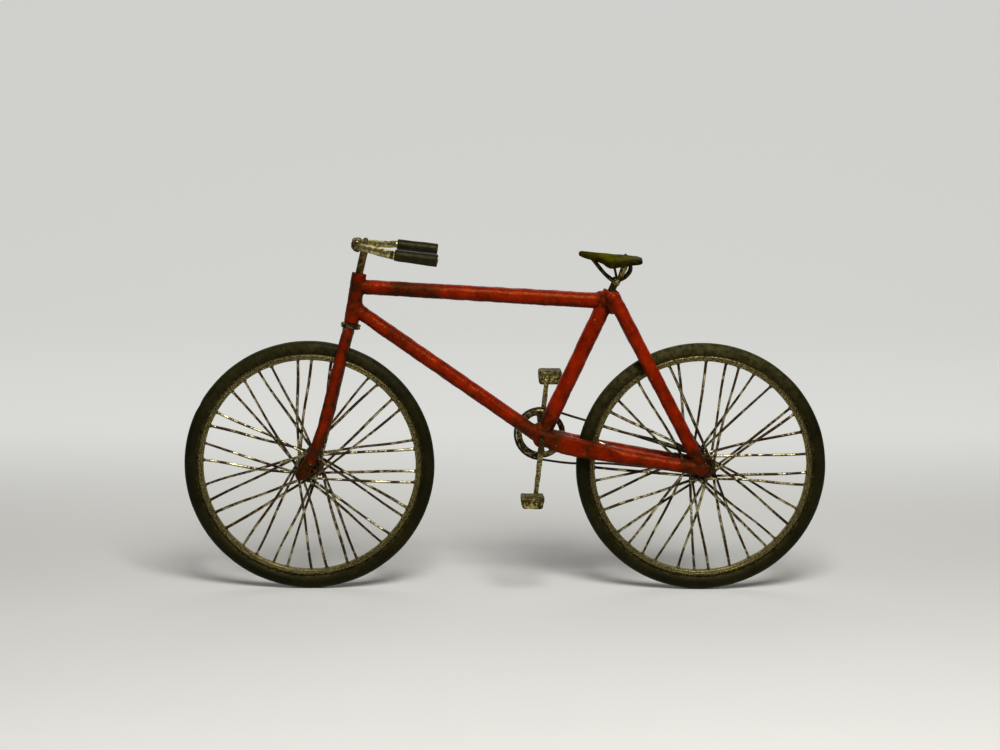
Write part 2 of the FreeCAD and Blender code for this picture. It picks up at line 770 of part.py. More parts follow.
def build():
    nodes = {
        "bottom_bracket_shell": bracket_shell(),
        "seat_tube": seat_tube(),
        "top_tube": top_tube(),
        "down_tube": down_tube(),
        "head_tube": head_tube(),
        "chain_stay_left": chain_stay(),
        "chain_stay_right": mirrored(chain_stay()),
        "seat_stay_left": seat_stay(),
        "seat_stay_right": mirrored(seat_stay()),
        "rear_end_left": rear_end(),
        "rear_end_right": mirrored(rear_end()),
        "rear_axle": cross_rod(rear_axle, -rear_axle_end, rear_axle_end, axle_radius),
        "seat_post": seat_post(),
        "saddle_clamp": saddle_clamp(),
        "saddle": saddle(),
        "saddle_front_rails": front_rails(),
        "saddle_middle_strut": middle_strut(),
        "saddle_side_wires": side_wires(),
        "saddle_rear_rails": rear_rails(),
        "chain": chain(),
        "steering_column": steering_column(),
        "headset_ring": headset_ring(),
        "fork_crown": crown(),
        "fork_blade_left": fork_blade(),
        "fork_blade_right": mirrored(fork_blade()),
        "front_axle": cross_rod(front_axle, -front_axle_end, front_axle_end, axle_radius),
        "handlebar_lug": handlebar_lug(),
        "handlebar": handlebar(),
        "grip_left": grip(),
        "grip_right": mirrored(grip()),
        "front_tyre": at(tyre(), front_axle),
        "front_rim": at(rim(), front_axle),
        "front_spokes": at(spokes(front_flange_aside), front_axle),
        "front_hub": at(hub(front_flange_aside, front_hub_half_length), front_axle),
        "rear_tyre": at(tyre(), rear_axle),
        "rear_rim": at(rim(), rear_axle),
        "rear_spokes": at(spokes(rear_flange_aside), rear_axle),
        "rear_hub": at(hub(rear_flange_aside, rear_hub_half_length), rear_axle),
        "rear_sprocket": at(sprocket(), rear_axle),
        "crank_axle": crank_axle(),
        "chainring": chainring(),
        "crank_left": crank(left_pedal_centre, left_crank_inner_face, left_crank_outer_face),
        "crank_right": crank(right_pedal_centre, -right_crank_outer_face, -right_crank_inner_face),
        "pedal_pin_left": pedal_pin(left_pedal_centre, left_crank_inner_face, left_crank_outer_face, 1),
        "pedal_pin_right": pedal_pin(right_pedal_centre, right_crank_inner_face, right_crank_outer_face, -1),
        "pedal_left": pedal(left_pedal_centre, left_crank_outer_face, 1),
        "pedal_right": pedal(right_pedal_centre, right_crank_outer_face, -1),
    }
    return nodes


origin = saddle_point(mount_length_share, 0, 0)
os.makedirs("parts", exist_ok=True)
for name, shape in build().items():
    placed = shape.translated(origin * -1)
    placed.exportStep("parts/" + name + ".step")
    box = placed.BoundBox
    print(name, len(placed.Solids), placed.isValid(), round(placed.Volume, 3),
          [round(value, 2) for value in (box.XMin, box.XMax, box.YMin, box.YMax, box.ZMin, box.ZMax)])
for label, point in [("bracket", bracket), ("rear axle", rear_axle), ("front axle", front_axle),
                     ("head middle", head_middle), ("left pedal", left_pedal_centre),
                     ("right pedal", right_pedal_centre), ("head direction", head_up + origin)]:
    place = point - origin
    print(label, round(place.x, 4), round(place.y, 4), round(place.z, 4))
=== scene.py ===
import random
from math import acos, asin, atan2, cos, exp, pi, radians, sin, sqrt, tau
import bmesh
import bpy
import numpy as np
from mathutils import Matrix, Vector, noise
from mathutils.kdtree import KDTree


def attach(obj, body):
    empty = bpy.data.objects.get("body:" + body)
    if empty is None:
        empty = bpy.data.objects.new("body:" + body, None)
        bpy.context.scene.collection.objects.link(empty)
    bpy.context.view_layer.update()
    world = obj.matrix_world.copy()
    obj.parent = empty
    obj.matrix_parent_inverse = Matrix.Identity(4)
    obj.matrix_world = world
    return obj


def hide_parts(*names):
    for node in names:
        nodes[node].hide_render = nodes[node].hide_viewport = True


# The handmade miniature bicycle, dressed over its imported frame. Places in this file are written in
# millimetres from the middle of the bottom bracket, as the part's source has them. The meshes are in
# metres in the row's own frame. The model's left side, which the camera sees, is +Y and has face 1.

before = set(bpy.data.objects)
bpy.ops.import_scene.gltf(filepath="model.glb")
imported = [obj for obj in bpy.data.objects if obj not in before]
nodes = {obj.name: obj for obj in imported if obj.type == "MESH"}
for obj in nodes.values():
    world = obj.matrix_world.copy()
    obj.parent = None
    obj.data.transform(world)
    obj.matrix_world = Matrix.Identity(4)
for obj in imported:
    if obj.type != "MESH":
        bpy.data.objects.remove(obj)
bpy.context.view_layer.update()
MM = 0.001


def at(x, y, z):
    return Vector((x, y, z))


ORIGIN = at(9.4644, 0, -21.8242)
BRACKET = at(0, 0, 0)
REAR_AXLE = at(-19.04, 0, -3.4)
FRONT_AXLE = at(27.6, 0, -3.4)
HEAD_UP = at(-0.16505, 0, 0.98629)
HEAD_TOP = at(21.589, 0, 19.512)
HEAD_BOTTOM = at(22.571, 0, 13.644)
CROWN = at(22.769, 0, 12.460)
SEAT_UP = at(-0.42104, 0, 0.90704)
SEAT_TUBE_TOP = SEAT_UP * 19.55
POST_TOP = SEAT_UP * 20.44
BAR_MIDDLE = at(21.953, 0, 23.013)
MODEL_TOP = 23.78
GROUND = -18.33

# Radii of the holes that the skins leave for what turns or stands in them
BRACKET_BORE = 0.31
HEAD_BORE = 0.53
CROWN_BORE = 0.475
POST_BORE = 0.445
AXLE_BORE = 0.26
HUB_BORE = 0.3
RING_BORE = 0.3
PEDAL_BORE = 0.25


# Materials
class Shader:
    """A small builder of node materials: every call adds one node and joins its inputs."""

    def __init__(self, name):
        self.material = bpy.data.materials.new(name)
        self.material.use_nodes = True
        self.tree = self.material.node_tree
        self.tree.nodes.clear()
        self.output = self.tree.nodes.new("ShaderNodeOutputMaterial")
        self.surface = self.tree.nodes.new("ShaderNodeBsdfPrincipled")
        self.tree.links.new(self.surface.outputs[0], self.output.inputs[0])
        self.place = self.add("TexCoord", output="Object")

    def put(self, socket, value):
        if hasattr(value, "is_output"):
            self.tree.links.new(value, socket)
        else:
            socket.default_value = value

    def set(self, **values):
        for name, value in values.items():
            self.put(self.surface.inputs[name.replace("_", " ")], value)

    def add(self, kind, inputs=(), output=0, **settings):
        """Adds a node, fills its settings and inputs, and gives the output asked for."""
        node = self.tree.nodes.new("ShaderNode" + kind)
        for name, value in settings.items():
            setattr(node, name, value)
        for name, value in dict(inputs).items():
            self.put(node.inputs[name], value)
        return node.outputs[output]

    def moved(self, seed, stretch=(1, 1, 1)):
        shift = (seed * MM, seed * 0.7 * MM, seed * 1.3 * MM)
        return self.add("Mapping", {"Vector": self.place, "Scale": stretch, "Location": shift})

    def noise(self, size, detail=3.0, rough=0.55, stretch=(1, 1, 1), seed=0.0):
        """Smooth noise whose features are about that many millimetres across."""
        return self.add("TexNoise", {"Vector": self.moved(seed, stretch), "Scale": 1 / (size * MM),
                                     "Detail": detail, "Roughness": rough}, "Fac")

    def cells(self, size, seed):
        return self.add("TexVoronoi", {"Vector": self.moved(seed), "Scale": 1 / (size * MM)}, "Distance")

    def mask(self, name):
        """A value that the mesh carries at each point, and nought where it carries none."""
        return self.add("Attribute", output="Fac", attribute_name=name)

    def near_axis(self, centre, near, far):
        """One within the first distance of a crosswise axis, in millimetres, and nought from the second on."""
        flat = self.add("VectorMath", {0: self.place, 1: (1, 0, 1)}, operation="MULTIPLY")
        axis = (centre + ORIGIN) * MM
        away = self.add("VectorMath", {0: flat, 1: (axis.x, 0, axis.z)}, "Value", operation="DISTANCE")
        return self.ramp(away, near * MM, far * MM, 1, 0)

    def ramp(self, value, low, high, start=0.0, end=1.0):
        return self.add("MapRange", {"Value": value, 1: low, 2: high, 3: start, 4: end}, "Result",
                        interpolation_type="SMOOTHSTEP")

    def math(self, kind, first, second):
        return self.add("Math", {0: first, 1: second}, operation=kind, use_clamp=True)

    def mix(self, share, first, second):
        first, second = (v if hasattr(v, "is_output") else (*v, 1.0) for v in (first, second))
        return self.add("Mix", {"Factor": share, 6: first, 7: second}, 2, data_type="RGBA")

    def bump(self, height, strength, depth, below=None):
        inputs = {"Strength": strength, "Distance": depth * MM, "Height": height}
        if below is not None:
            inputs["Normal"] = below
        return self.add("Bump", inputs)


def red_paint():
    s = Shader("frame_paint_worn")
    broad = s.noise(2.6, 3, 0.6, seed=3)
    streak = s.noise(0.9, 4, 0.65, seed=11)
    fine = s.noise(0.16, 3, 0.7, seed=5)
    red = s.mix(s.ramp(broad, 0.38, 0.66), (0.175, 0.0065, 0.0003), (0.275, 0.0115, 0.0006))
    red = s.mix(s.ramp(streak, 0.55, 0.72, 0, 0.45), red, (0.36, 0.035, 0.003))
    spots = s.math("MULTIPLY", s.ramp(streak, 0.52, 0.30), s.ramp(broad, 0.6, 0.36, 0, 0.85))
    # The mesh's mask darkens the paint with dirt in the joints and with painted shade on the undersides, tops and
    # facing sides of the tubes.
    masked = s.math("MULTIPLY", s.mask("grime_and_shade"), s.ramp(streak, 0.25, 0.68, 1, 0.62))
    grime_and_shade = s.math("ADD", spots, masked)
    colour = s.mix(grime_and_shade, red, (0.016, 0.0055, 0.0008))
    chip_noise = s.noise(0.34, 2, 0.5, seed=21)
    chips = s.math("MULTIPLY", s.ramp(chip_noise, 0.735, 0.765), s.ramp(s.noise(2.2, 1, 0.5, seed=8), 0.5, 0.6))
    colour = s.mix(chips, colour, (0.55, 0.40, 0.18))
    s.set(Base_Color=colour, Roughness=s.ramp(s.math("ADD", fine, grime_and_shade), 0.3, 1.2, 0.28, 0.6))
    s.set(Specular_IOR_Level=0.24, Specular_Tint=(1.0, 0.42, 0.12, 1))
    lumps = s.bump(s.noise(0.55, 4, 0.6, seed=2), 0.75, 0.11)
    s.set(Normal=s.bump(fine, 0.35, 0.03, lumps))
    return s.material


def tyre_rubber():
    s = Shader("tyre_rubber_dry")
    broad = s.noise(4.5, 3, 0.6)
    fine = s.noise(0.22, 4, 0.7, seed=4)
    colour = s.mix(s.ramp(broad, 0.35, 0.7), (0.0034, 0.0033, 0.0005), (0.0105, 0.0094, 0.0018))
    scuff_noise = s.ramp(s.noise(0.7, 4, 0.7, seed=9), 0.56, 0.75)
    scuff = s.math("MULTIPLY", scuff_noise, s.ramp(broad, 0.42, 0.62, 0.15, 0.8))
    colour = s.mix(scuff, colour, (0.034, 0.028, 0.008))
    # Lighter towards the top of the wheel: dust, and painted light from above.
    dust_and_top_light = s.math("MULTIPLY", s.mask("dust_and_top_light"), s.ramp(s.noise(0.6, 4, 0.7, seed=19), 0.25, 0.8))
    colour = s.mix(dust_and_top_light, colour, (0.086, 0.074, 0.024))
    edge = s.math("MULTIPLY", s.mask("edge"), s.ramp(s.noise(0.5, 4, 0.7, seed=31), 0.42, 0.68))
    colour = s.mix(edge, colour, (0.075, 0.058, 0.017))
    s.set(Base_Color=colour, Roughness=s.ramp(fine, 0.3, 0.7, 0.45, 0.7), Specular_IOR_Level=0.12)
    s.set(Specular_Tint=(1.0, 0.92, 0.5, 1))
    lumps = s.bump(s.noise(1.1, 3, 0.6, seed=7), 0.4, 0.07)
    s.set(Normal=s.bump(fine, 0.5, 0.035, lumps))
    return s.material


def grip_rubber():
    s = Shader("grip_rubber_black")
    fine = s.noise(0.3, 4, 0.7, seed=14)
    tone = s.ramp(s.noise(1.0, 3, 0.6, seed=2), 0.45, 0.75)
    colour = s.mix(tone, (0.0050, 0.0045, 0.0008), (0.017, 0.0145, 0.0035))
    scratch = s.ramp(s.noise(0.5, 4, 0.7, (1, 4, 4), seed=6), 0.58, 0.70, 0, 0.7)
    colour = s.mix(scratch, colour, (0.060, 0.050, 0.016))
    s.set(Base_Color=colour, Roughness=s.ramp(fine, 0.3, 0.7, 0.36, 0.6), Specular_IOR_Level=0.2)
    grain = s.bump(s.noise(0.45, 3, 0.6, (1, 3, 3), seed=8), 0.4, 0.06)
    s.set(Specular_Tint=(1.0, 0.92, 0.5, 1), Normal=s.bump(fine, 0.4, 0.03, grain))
    return s.material


def saddle_leather():
    s = Shader("saddle_leather_olive")
    broad = s.noise(1.7, 4, 0.6, seed=4)
    fine = s.noise(0.2, 4, 0.7, seed=3)
    colour = s.mix(s.ramp(broad, 0.3, 0.7), (0.030, 0.028, 0.0004), (0.070, 0.066, 0.0012))
    pale = s.ramp(s.noise(0.5, 4, 0.7, seed=12), 0.55, 0.75, 0, 0.5)
    colour = s.mix(pale, colour, (0.092, 0.087, 0.002))
    rim = s.math("MULTIPLY", s.mask("edge"), s.ramp(s.noise(0.6, 3, 0.6, seed=5), 0.3, 0.6, 0.6, 1))
    colour = s.mix(rim, colour, (0.010, 0.0055, 0.0006))
    s.set(Base_Color=colour, Roughness=s.ramp(fine, 0.3, 0.7, 0.5, 0.75), Specular_IOR_Level=0.02)
    s.set(Specular_Tint=(1.0, 0.92, 0.3, 1))
    pores = s.bump(s.cells(0.17, 3), 0.35, 0.03)
    s.set(Normal=s.bump(s.noise(0.55, 4, 0.6, seed=9), 0.55, 0.09, pores))
    return s.material


def thread_black():
    s = Shader("chain_thread_black")
    fine = s.noise(0.15, 4, 0.7)
    tone = s.ramp(s.noise(0.8, 3, 0.6), 0.45, 0.75)
    colour = s.mix(tone, (0.007, 0.006, 0.002), (0.020, 0.017, 0.007))
    s.set(Base_Color=colour, Roughness=s.ramp(fine, 0.3, 0.7, 0.4, 0.7), Specular_IOR_Level=0.3)
    s.set(Specular_Tint=(1.0, 0.92, 0.6, 1), Normal=s.bump(fine, 0.5, 0.03))
    return s.material


def metal(name, seed, patch, rust_range, dark, light, rust, shine=(0.26, 0.5), metallic=0.95, stain=None):
    """Bare metal with brown patches of the given size, where the mesh's own rust mask adds to them."""
    s = Shader(name)
    tone = s.noise(patch * 0.6, 4, 0.65, seed=seed + 2)
    patches = s.noise(patch, 4, 0.7, seed=seed)
    fine = s.noise(0.12, 3, 0.7, seed=seed + 5)
    colour = s.mix(s.ramp(tone, 0.38, 0.64), dark, light)
    masked = s.math("MULTIPLY", s.mask("rust"), s.ramp(tone, 0.2, 0.6, 1, 0.6))
    share = s.math("ADD", s.ramp(patches, *rust_range), masked)
    if stain:
        share = s.math("ADD", share, s.near_axis(*stain))
    colour = s.mix(share, colour, rust)
    s.set(Base_Color=colour, Metallic=s.ramp(share, 0.1, 0.9, metallic, 0.2))
    s.set(Roughness=s.math("ADD", s.ramp(fine, 0.3, 0.7, *shine), s.ramp(share, 0, 1, 0, 0.25)))
    s.set(Specular_IOR_Level=0.2, Specular_Tint=(1.0, 0.94, 0.7, 1))
    rough = s.bump(s.noise(0.4, 4, 0.65, seed=seed + 8), 0.4, 0.05)
    s.set(Normal=s.bump(fine, 0.3, 0.02, rough))
    return s.material


PAINT = red_paint()
TYRE = tyre_rubber()
GRIP = grip_rubber()
LEATHER = saddle_leather()
THREAD = thread_black()
SPOKE_METAL = metal("spoke_wire_aged", 3, 1.5, (0.44, 0.54), (0.040, 0.024, 0.006), (0.62, 0.55, 0.30),
                    (0.030, 0.0125, 0.0022), (0.14, 0.3))
RIM_METAL = metal("rim_metal_aged", 17, 0.17, (0.48, 0.57), (0.036, 0.025, 0.006), (0.40, 0.34, 0.125),
                  (0.014, 0.0080, 0.0012), (0.25, 0.5))
HUB_METAL = metal("hub_metal_brown", 27, 0.4, (0.40, 0.54), (0.075, 0.040, 0.010), (0.26, 0.17, 0.055),
                  (0.026, 0.0082, 0.0012))
BAR_METAL = metal("bar_metal_silver", 41, 0.8, (0.53, 0.66), (0.26, 0.215, 0.08), (0.76, 0.67, 0.30),
                  (0.055, 0.031, 0.004), (0.2, 0.42))
KNOT_METAL = metal("knot_metal_tarnished", 47, 0.28, (0.45, 0.56), (0.060, 0.048, 0.012), (0.52, 0.44, 0.16),
                   (0.018, 0.011, 0.0018), (0.2, 0.4))
STEM_METAL = metal("stem_steel_dark", 53, 0.7, (0.46, 0.62), (0.050, 0.028, 0.006), (0.24, 0.15, 0.045),
                   (0.020, 0.007, 0.0012), (0.26, 0.45))
CRANK_METAL = metal("crank_metal_mottled", 61, 0.3, (0.50, 0.62), (0.105, 0.076, 0.023), (0.48, 0.39, 0.15),
                    (0.032, 0.017, 0.003), stain=(BRACKET, 0.9, 2.4))
PEDAL_METAL = metal("pedal_metal_stained", 71, 0.6, (0.48, 0.58), (0.082, 0.060, 0.012), (0.52, 0.44, 0.13),
                    (0.026, 0.016, 0.0025), metallic=0.8)
WIRE_METAL = metal("saddle_wire_black", 83, 0.6, (0.46, 0.62), (0.010, 0.008, 0.0015), (0.090, 0.076, 0.028),
                   (0.010, 0.006, 0.001), (0.3, 0.5))
RING_METAL = metal("ring_metal_dull", 91, 0.8, (0.46, 0.56), (0.033, 0.022, 0.005), (0.40, 0.32, 0.12),
                   (0.013, 0.0075, 0.0012))


# Objects and meshes
def linked(name, data):
    made = bpy.data.objects.new(name, data)
    bpy.context.scene.collection.objects.link(made)
    return made


def finished(holder):
    """The mesh of a working object with its modifiers applied. The object itself goes."""
    seen = bpy.context.evaluated_depsgraph_get()
    mesh = bpy.data.meshes.new_from_object(holder.evaluated_get(seen))
    bpy.data.objects.remove(holder)
    return mesh


def dress(mesh, material):
    mesh.materials.clear()
    mesh.materials.append(material)
    for polygon in mesh.polygons:
        polygon.use_smooth = True


def add_object(name, mesh, body, material, replaces=()):
    made = linked(name, mesh)
    dress(mesh, material)
    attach(made, body)
    if replaces:
        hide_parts(*replaces)


def mesh_of(name, verts, faces):
    mesh = bpy.data.meshes.new(name)
    mesh.from_pydata([(Vector(v) + ORIGIN) * MM for v in verts], [], faces)
    mesh.update()
    return mesh


def cleaned(mesh, distance=0.0001):
    work = bmesh.new()
    work.from_mesh(mesh)
    bmesh.ops.remove_doubles(work, verts=work.verts, dist=distance * MM)
    bmesh.ops.recalc_face_normals(work, faces=work.faces)
    work.to_mesh(mesh)
    work.free()
    return mesh


def put_mask(mesh, name, values):
    layer = mesh.attributes.new(name, "FLOAT", "POINT")
    layer.data.foreach_set("value", np.asarray(values, dtype=np.float32))


def even_mask(mesh, name, value):
    put_mask(mesh, name, np.full(len(mesh.vertices), value))


def remask(mesh, name, places, values):
    """Carries a mask over to a mesh whose points have changed a little."""
    tree = KDTree(len(places))
    for index, place in enumerate(places):
        tree.insert(place, index)
    tree.balance()
    put_mask(mesh, name, [values[tree.find(place)[1]] for place in coordinates(mesh)])


def joined(parts):
    verts, faces = [], []
    for part_verts, part_faces in parts:
        start = len(verts)
        verts.extend(part_verts)
        faces.extend(tuple(index + start for index in face) for face in part_faces)
    return verts, faces


def turns_of(steps):
    """The angles of that many even steps round a circle."""
    return [tau * step / steps for step in range(steps)]


def lattice(rings, sides, closed=False):
    """Faces between rings of points. In a closed lattice the last ring joins the first."""
    faces = []
    for ring in range(rings if closed else rings - 1):
        here, there = ring * sides, (ring + 1) % rings * sides
        for side in range(sides):
            other = (side + 1) % sides
            faces.append((here + side, here + other, there + other, there + side))
    return faces


def smooth_line(points, steps, closed=False):
    """Points on the smooth curve that passes through the given ones."""
    count = len(points)
    line = []
    for index in range(count if closed else count - 1):
        around = [index + shift for shift in (-1, 0, 1, 2)]
        a, b, c, d = (points[i % count if closed else min(max(i, 0), count - 1)] for i in around)
        for step in range(steps):
            t = step / steps
            line.append(0.5 * ((2 * b) + (c - a) * t + (2 * a - 5 * b + 4 * c - d) * t * t
                               + (3 * b - a - 3 * c + d) * t ** 3))
    return line if closed else line + [points[-1]]


def tube(line, radius, sides=10, closed=False, flat=1.0, round_ends=True):
    """Vertices and faces of a tube along a line. radius is a number or one for each point."""
    count = len(line)
    radii = radius if isinstance(radius, (list, tuple)) else [radius] * count
    tangents = []
    for index in range(count):
        before = line[(index - 1) % count] if closed or index else line[0]
        after = line[(index + 1) % count] if closed or index < count - 1 else line[-1]
        tangents.append((after - before).normalized())
    normal = tangents[0].orthogonal().normalized()
    if abs(tangents[0].y) < 0.9:
        normal = (at(0, 1, 0) - tangents[0] * tangents[0].y).normalized()
    rings = []
    for point, tangent, size in zip(line, tangents, radii):
        normal = (normal - tangent * normal.dot(tangent)).normalized()
        rings.append((point, normal, tangent.cross(normal), size))
    if round_ends and not closed:
        def rounded(ring, away, shares):
            centre, first, second, size = ring
            return [(centre + away * size * 0.9 * cos(asin(share)), first, second, size * max(share, 0.02))
                    for share in shares]
        rings = (rounded(rings[0], -tangents[0], (0.0, 0.55, 0.85)) + rings
                 + rounded(rings[-1], tangents[-1], (0.85, 0.55, 0.0)))
    verts = [centre + first * (size * flat * cos(angle)) + second * (size * sin(angle))
             for centre, first, second, size in rings for angle in turns_of(sides)]
    faces = lattice(len(rings), sides, closed)
    if not closed:
        last = (len(rings) - 1) * sides
        faces += [tuple(reversed(range(sides))), tuple(range(last, last + sides))]
    return verts, faces


def blob(centre, radii, seed, rough=0.12, rings=10, sides=14):
    """A lump of solder: an uneven ball."""
    verts = []
    for ring in range(rings + 1):
        polar = pi * ring / rings
        for angle in turns_of(sides):
            way = at(sin(polar) * cos(angle), sin(polar) * sin(angle), cos(polar))
            size = 1 + rough * noise.noise(way * 1.7 + at(seed, seed * 2, 0))
            verts.append(centre + at(way.x * radii[0], way.y * radii[1], way.z * radii[2]) * size)
    return verts, [(a, d, c, b) for a, b, c, d in lattice(rings + 1, sides)]


def blobs(*lumps):
    return [blob(*lump) for lump in lumps]


def coordinates(mesh):
    flat = np.zeros(len(mesh.vertices) * 3)
    mesh.vertices.foreach_get("co", flat)
    return flat.reshape(-1, 3) / MM - np.array(ORIGIN)


def put_coordinates(mesh, places):
    mesh.vertices.foreach_set("co", ((places + np.array(ORIGIN)) * MM).ravel())
    mesh.update()


def normals_of(mesh):
    flat = np.zeros(len(mesh.vertices) * 3)
    mesh.vertices.foreach_get("normal", flat)
    return flat.reshape(-1, 3)


def clamp(values):
    return np.clip(values, 0, 1)


def distance_to(places, centre):
    return np.linalg.norm(places - np.array(centre), axis=1)


def near_to(places, centre, reach):
    """One at the centre, nought from that distance on."""
    return clamp(1 - distance_to(places, centre) / reach)


def segment_distance(places, start, end):
    a, b = np.array(start), np.array(end)
    line = b - a
    share = clamp(((places - a) @ line) / (line @ line))
    return np.linalg.norm(places - (a + share[:, None] * line), axis=1)


def axle_distance(places, centre):
    return np.hypot(places[:, 0] - centre.x, places[:, 2] - centre.z)


def smoothed(mesh, weights, rounds):
    """Evens the surface out where the weights ask for it, and keeps the thickness of thin rods."""
    places = coordinates(mesh)
    weights = np.broadcast_to(weights, len(places))[:, None]
    edges = np.zeros(len(mesh.edges) * 2, dtype=np.int64)
    mesh.edges.foreach_get("vertices", edges)
    edges = edges.reshape(-1, 2)
    degree = np.bincount(edges.ravel(), minlength=len(places)).astype(float)[:, None]
    for turn in range(rounds):
        for share in (0.5, -0.52):
            total = np.zeros_like(places)
            for axis in range(3):
                total[:, axis] = (np.bincount(edges[:, 0], places[edges[:, 1], axis], len(places))
                                  + np.bincount(edges[:, 1], places[edges[:, 0], axis], len(places)))
            places += (total / degree - places) * (weights * share)
    put_coordinates(mesh, places)


def noise_at(places, size, shift):
    return np.array([noise.noise(Vector(place) / size + shift) for place in places])


def lumped(mesh, *layers):
    """Moves every point along its normal by layers of smooth noise of a size, depth and seed."""
    for size, depth, seed in layers:
        places = coordinates(mesh)
        lift = noise_at(places, size, at(seed, seed * 1.7, seed * 0.6))
        put_coordinates(mesh, places + normals_of(mesh) * (lift * depth)[:, None])


def welded(name, node_names, extra, voxel):
    """One skin over several tubes and lumps of solder, with their seams run together."""
    work = bmesh.new()
    for node in node_names:
        work.from_mesh(nodes[node].data)
    more = mesh_of(name + "_extra", *joined(extra))
    work.from_mesh(more)
    whole = bpy.data.meshes.new(name)
    work.to_mesh(whole)
    work.free()
    holder = linked(name + "_work", whole)
    remesh = holder.modifiers.new("skin", "REMESH")
    remesh.mode = "VOXEL"
    remesh.voxel_size = voxel * MM
    skin = finished(holder)
    skin.name = name
    bpy.data.meshes.remove(whole)
    bpy.data.meshes.remove(more)
    return skin


def bored(mesh, *holes):
    """Cuts round holes, each given as two ends and a radius."""
    holder = linked("bored_work", mesh)
    cutters = []
    for start, end, radius in holes:
        rod = mesh_of("bored_cutter", *tube([start, end], radius, 24, round_ends=False))
        cutters.append(linked("bored_cutter", cleaned(rod, 0.0005)))
        cut = holder.modifiers.new("hole", "BOOLEAN")
        cut.operation = "DIFFERENCE"
        cut.solver = "EXACT"
        cut.object = cutters[-1]
    result = finished(holder)
    for cutter in cutters:
        bpy.data.objects.remove(cutter)
    return result


# The painted frame, brazed from rods
SEAT_KNOT = at(-7.85, 0, 16.35)
HEAD_KNOT = at(21.6, 0, 17.95)
LOW_HEAD_KNOT = at(21.95, 0, 15.5)
STAY_SIDE = 2.3


def frame_skin():
    extra = blobs(
        (HEAD_KNOT, (0.86, 0.84, 0.9), 1), (LOW_HEAD_KNOT, (0.9, 0.84, 0.95), 2),
        (SEAT_KNOT, (1.1, 1.25, 1.15), 3, 0.2), (SEAT_KNOT + at(-0.55, 0, -0.75), (0.75, 1.2, 0.8), 9),
        (SEAT_KNOT + at(0.9, 0, 0.75), (0.6, 0.75, 0.42), 5),
        (BRACKET + at(0, 0, 0.15), (1.06, 1.5, 1.0), 4),
        (BRACKET + at(-1.8, 0, -0.3), (2.1, 2.4, 1.08), 14, 0.05, 14, 20),
        (BRACKET + at(0.1, 0, 1.1), (0.85, 0.8, 0.75), 6),
        (SEAT_TUBE_TOP - SEAT_UP * 0.15, (0.62, 0.6, 0.5), 8, 0.2))
    for face in (1, -1):
        extra += blobs(
            (REAR_AXLE + at(0.12, face * 2.2, -0.05), (0.74, 0.78, 0.74), 7 + face, 0.16),
            (REAR_AXLE + at(0.75, face * 2.15, 0.45), (0.7, 0.6, 0.6), 17 + face, 0.16),
            (REAR_AXLE + at(0.4, face * 2.42, 0.2), (0.82, 0.42, 0.74), 27 + face, 0.25),
            (at(-0.4, face * 1.5, -0.05), (0.95, 0.8, 0.92), 12 + face),
            (at(-8.3, face * 1.25, 16.2), (0.82, 0.72, 0.95), 16 + face, 0.2))
    members = ["bottom_bracket_shell", "seat_tube", "top_tube", "down_tube", "head_tube"]
    for side in ("left", "right"):
        members += ["chain_stay_" + side, "seat_stay_" + side]
    skin = welded("frame_skin", members, extra, 0.115)
    centres = [HEAD_KNOT, LOW_HEAD_KNOT, SEAT_KNOT, BRACKET + at(0, 0, 0.5)]
    for face in (1, -1):
        centres += [REAR_AXLE + at(0.6, face * 2.2, 0.4), at(-1.2, face * 1.8, -0.2)]
    places = coordinates(skin)
    smudge = near_to(places, (-5.6, 2.0, -0.9), 1.5)
    knot_distance = np.min([distance_to(places, centre) for centre in centres], axis=0)
    smoothed(skin, clamp(1 - (knot_distance - 1.2) / 1.6) * 0.75 + 0.25, 7)
    places = coordinates(skin)
    bend_frame(places)
    put_coordinates(skin, places)
    lumped(skin, (1.5, 0.06, 3.1), (0.5, 0.025, 8.4), (0.26, 0.012, 1.9),
           (0.4, clamp(1.2 - knot_distance / 1.7) * 0.09, 6.6))
    lumped(skin, (0.62, near_to(coordinates(skin), SEAT_KNOT + at(-0.2, 0.6, 0), 2.4) * 0.26, 9.3))
    normals = normals_of(skin)
    places = coordinates(skin) + normals * 0.03
    swell_frame(places, normals)
    put_coordinates(skin, places)
    # The mask holds dirt in the joints plus painted shade on the undersides, the tops and the head tube's front.
    grime_and_shade = frame_dirt_and_shade(places, normals, knot_distance) + smudge * 1.3
    skin = bored(
        skin, (at(0, 4, 0), at(0, -4, 0), BRACKET_BORE),
        (HEAD_BOTTOM - HEAD_UP * 1.5, HEAD_TOP + HEAD_UP * 1.5, HEAD_BORE),
        (SEAT_TUBE_TOP - SEAT_UP * 3.5, SEAT_TUBE_TOP + SEAT_UP * 1.5, POST_BORE),
        (REAR_AXLE + at(0, 2.72, 0), REAR_AXLE - at(0, 2.72, 0), AXLE_BORE))
    remask(skin, "grime_and_shade", places, clamp(grime_and_shade))
    add_object("frame_skin", skin, "frame", PAINT, members + ["rear_end_left", "rear_end_right"])


def bend_frame(places):
    """The chain stays sag a little and the seat tube's rim is dressed down."""
    x, y, z = places.T
    stay = (np.abs(y) > 0.7) & (x < -1.0) & (z < 1.2)
    z -= np.where(stay, 0.26 * np.sin(pi * clamp(-x / 19.13) ** 0.75), 0)
    rise = places @ np.array(SEAT_UP) - 19.1
    top = distance_to(places, SEAT_TUBE_TOP) < 1.5
    places -= np.array(SEAT_UP) * np.where(top & (rise > 0), rise * 0.85, 0)[:, None]


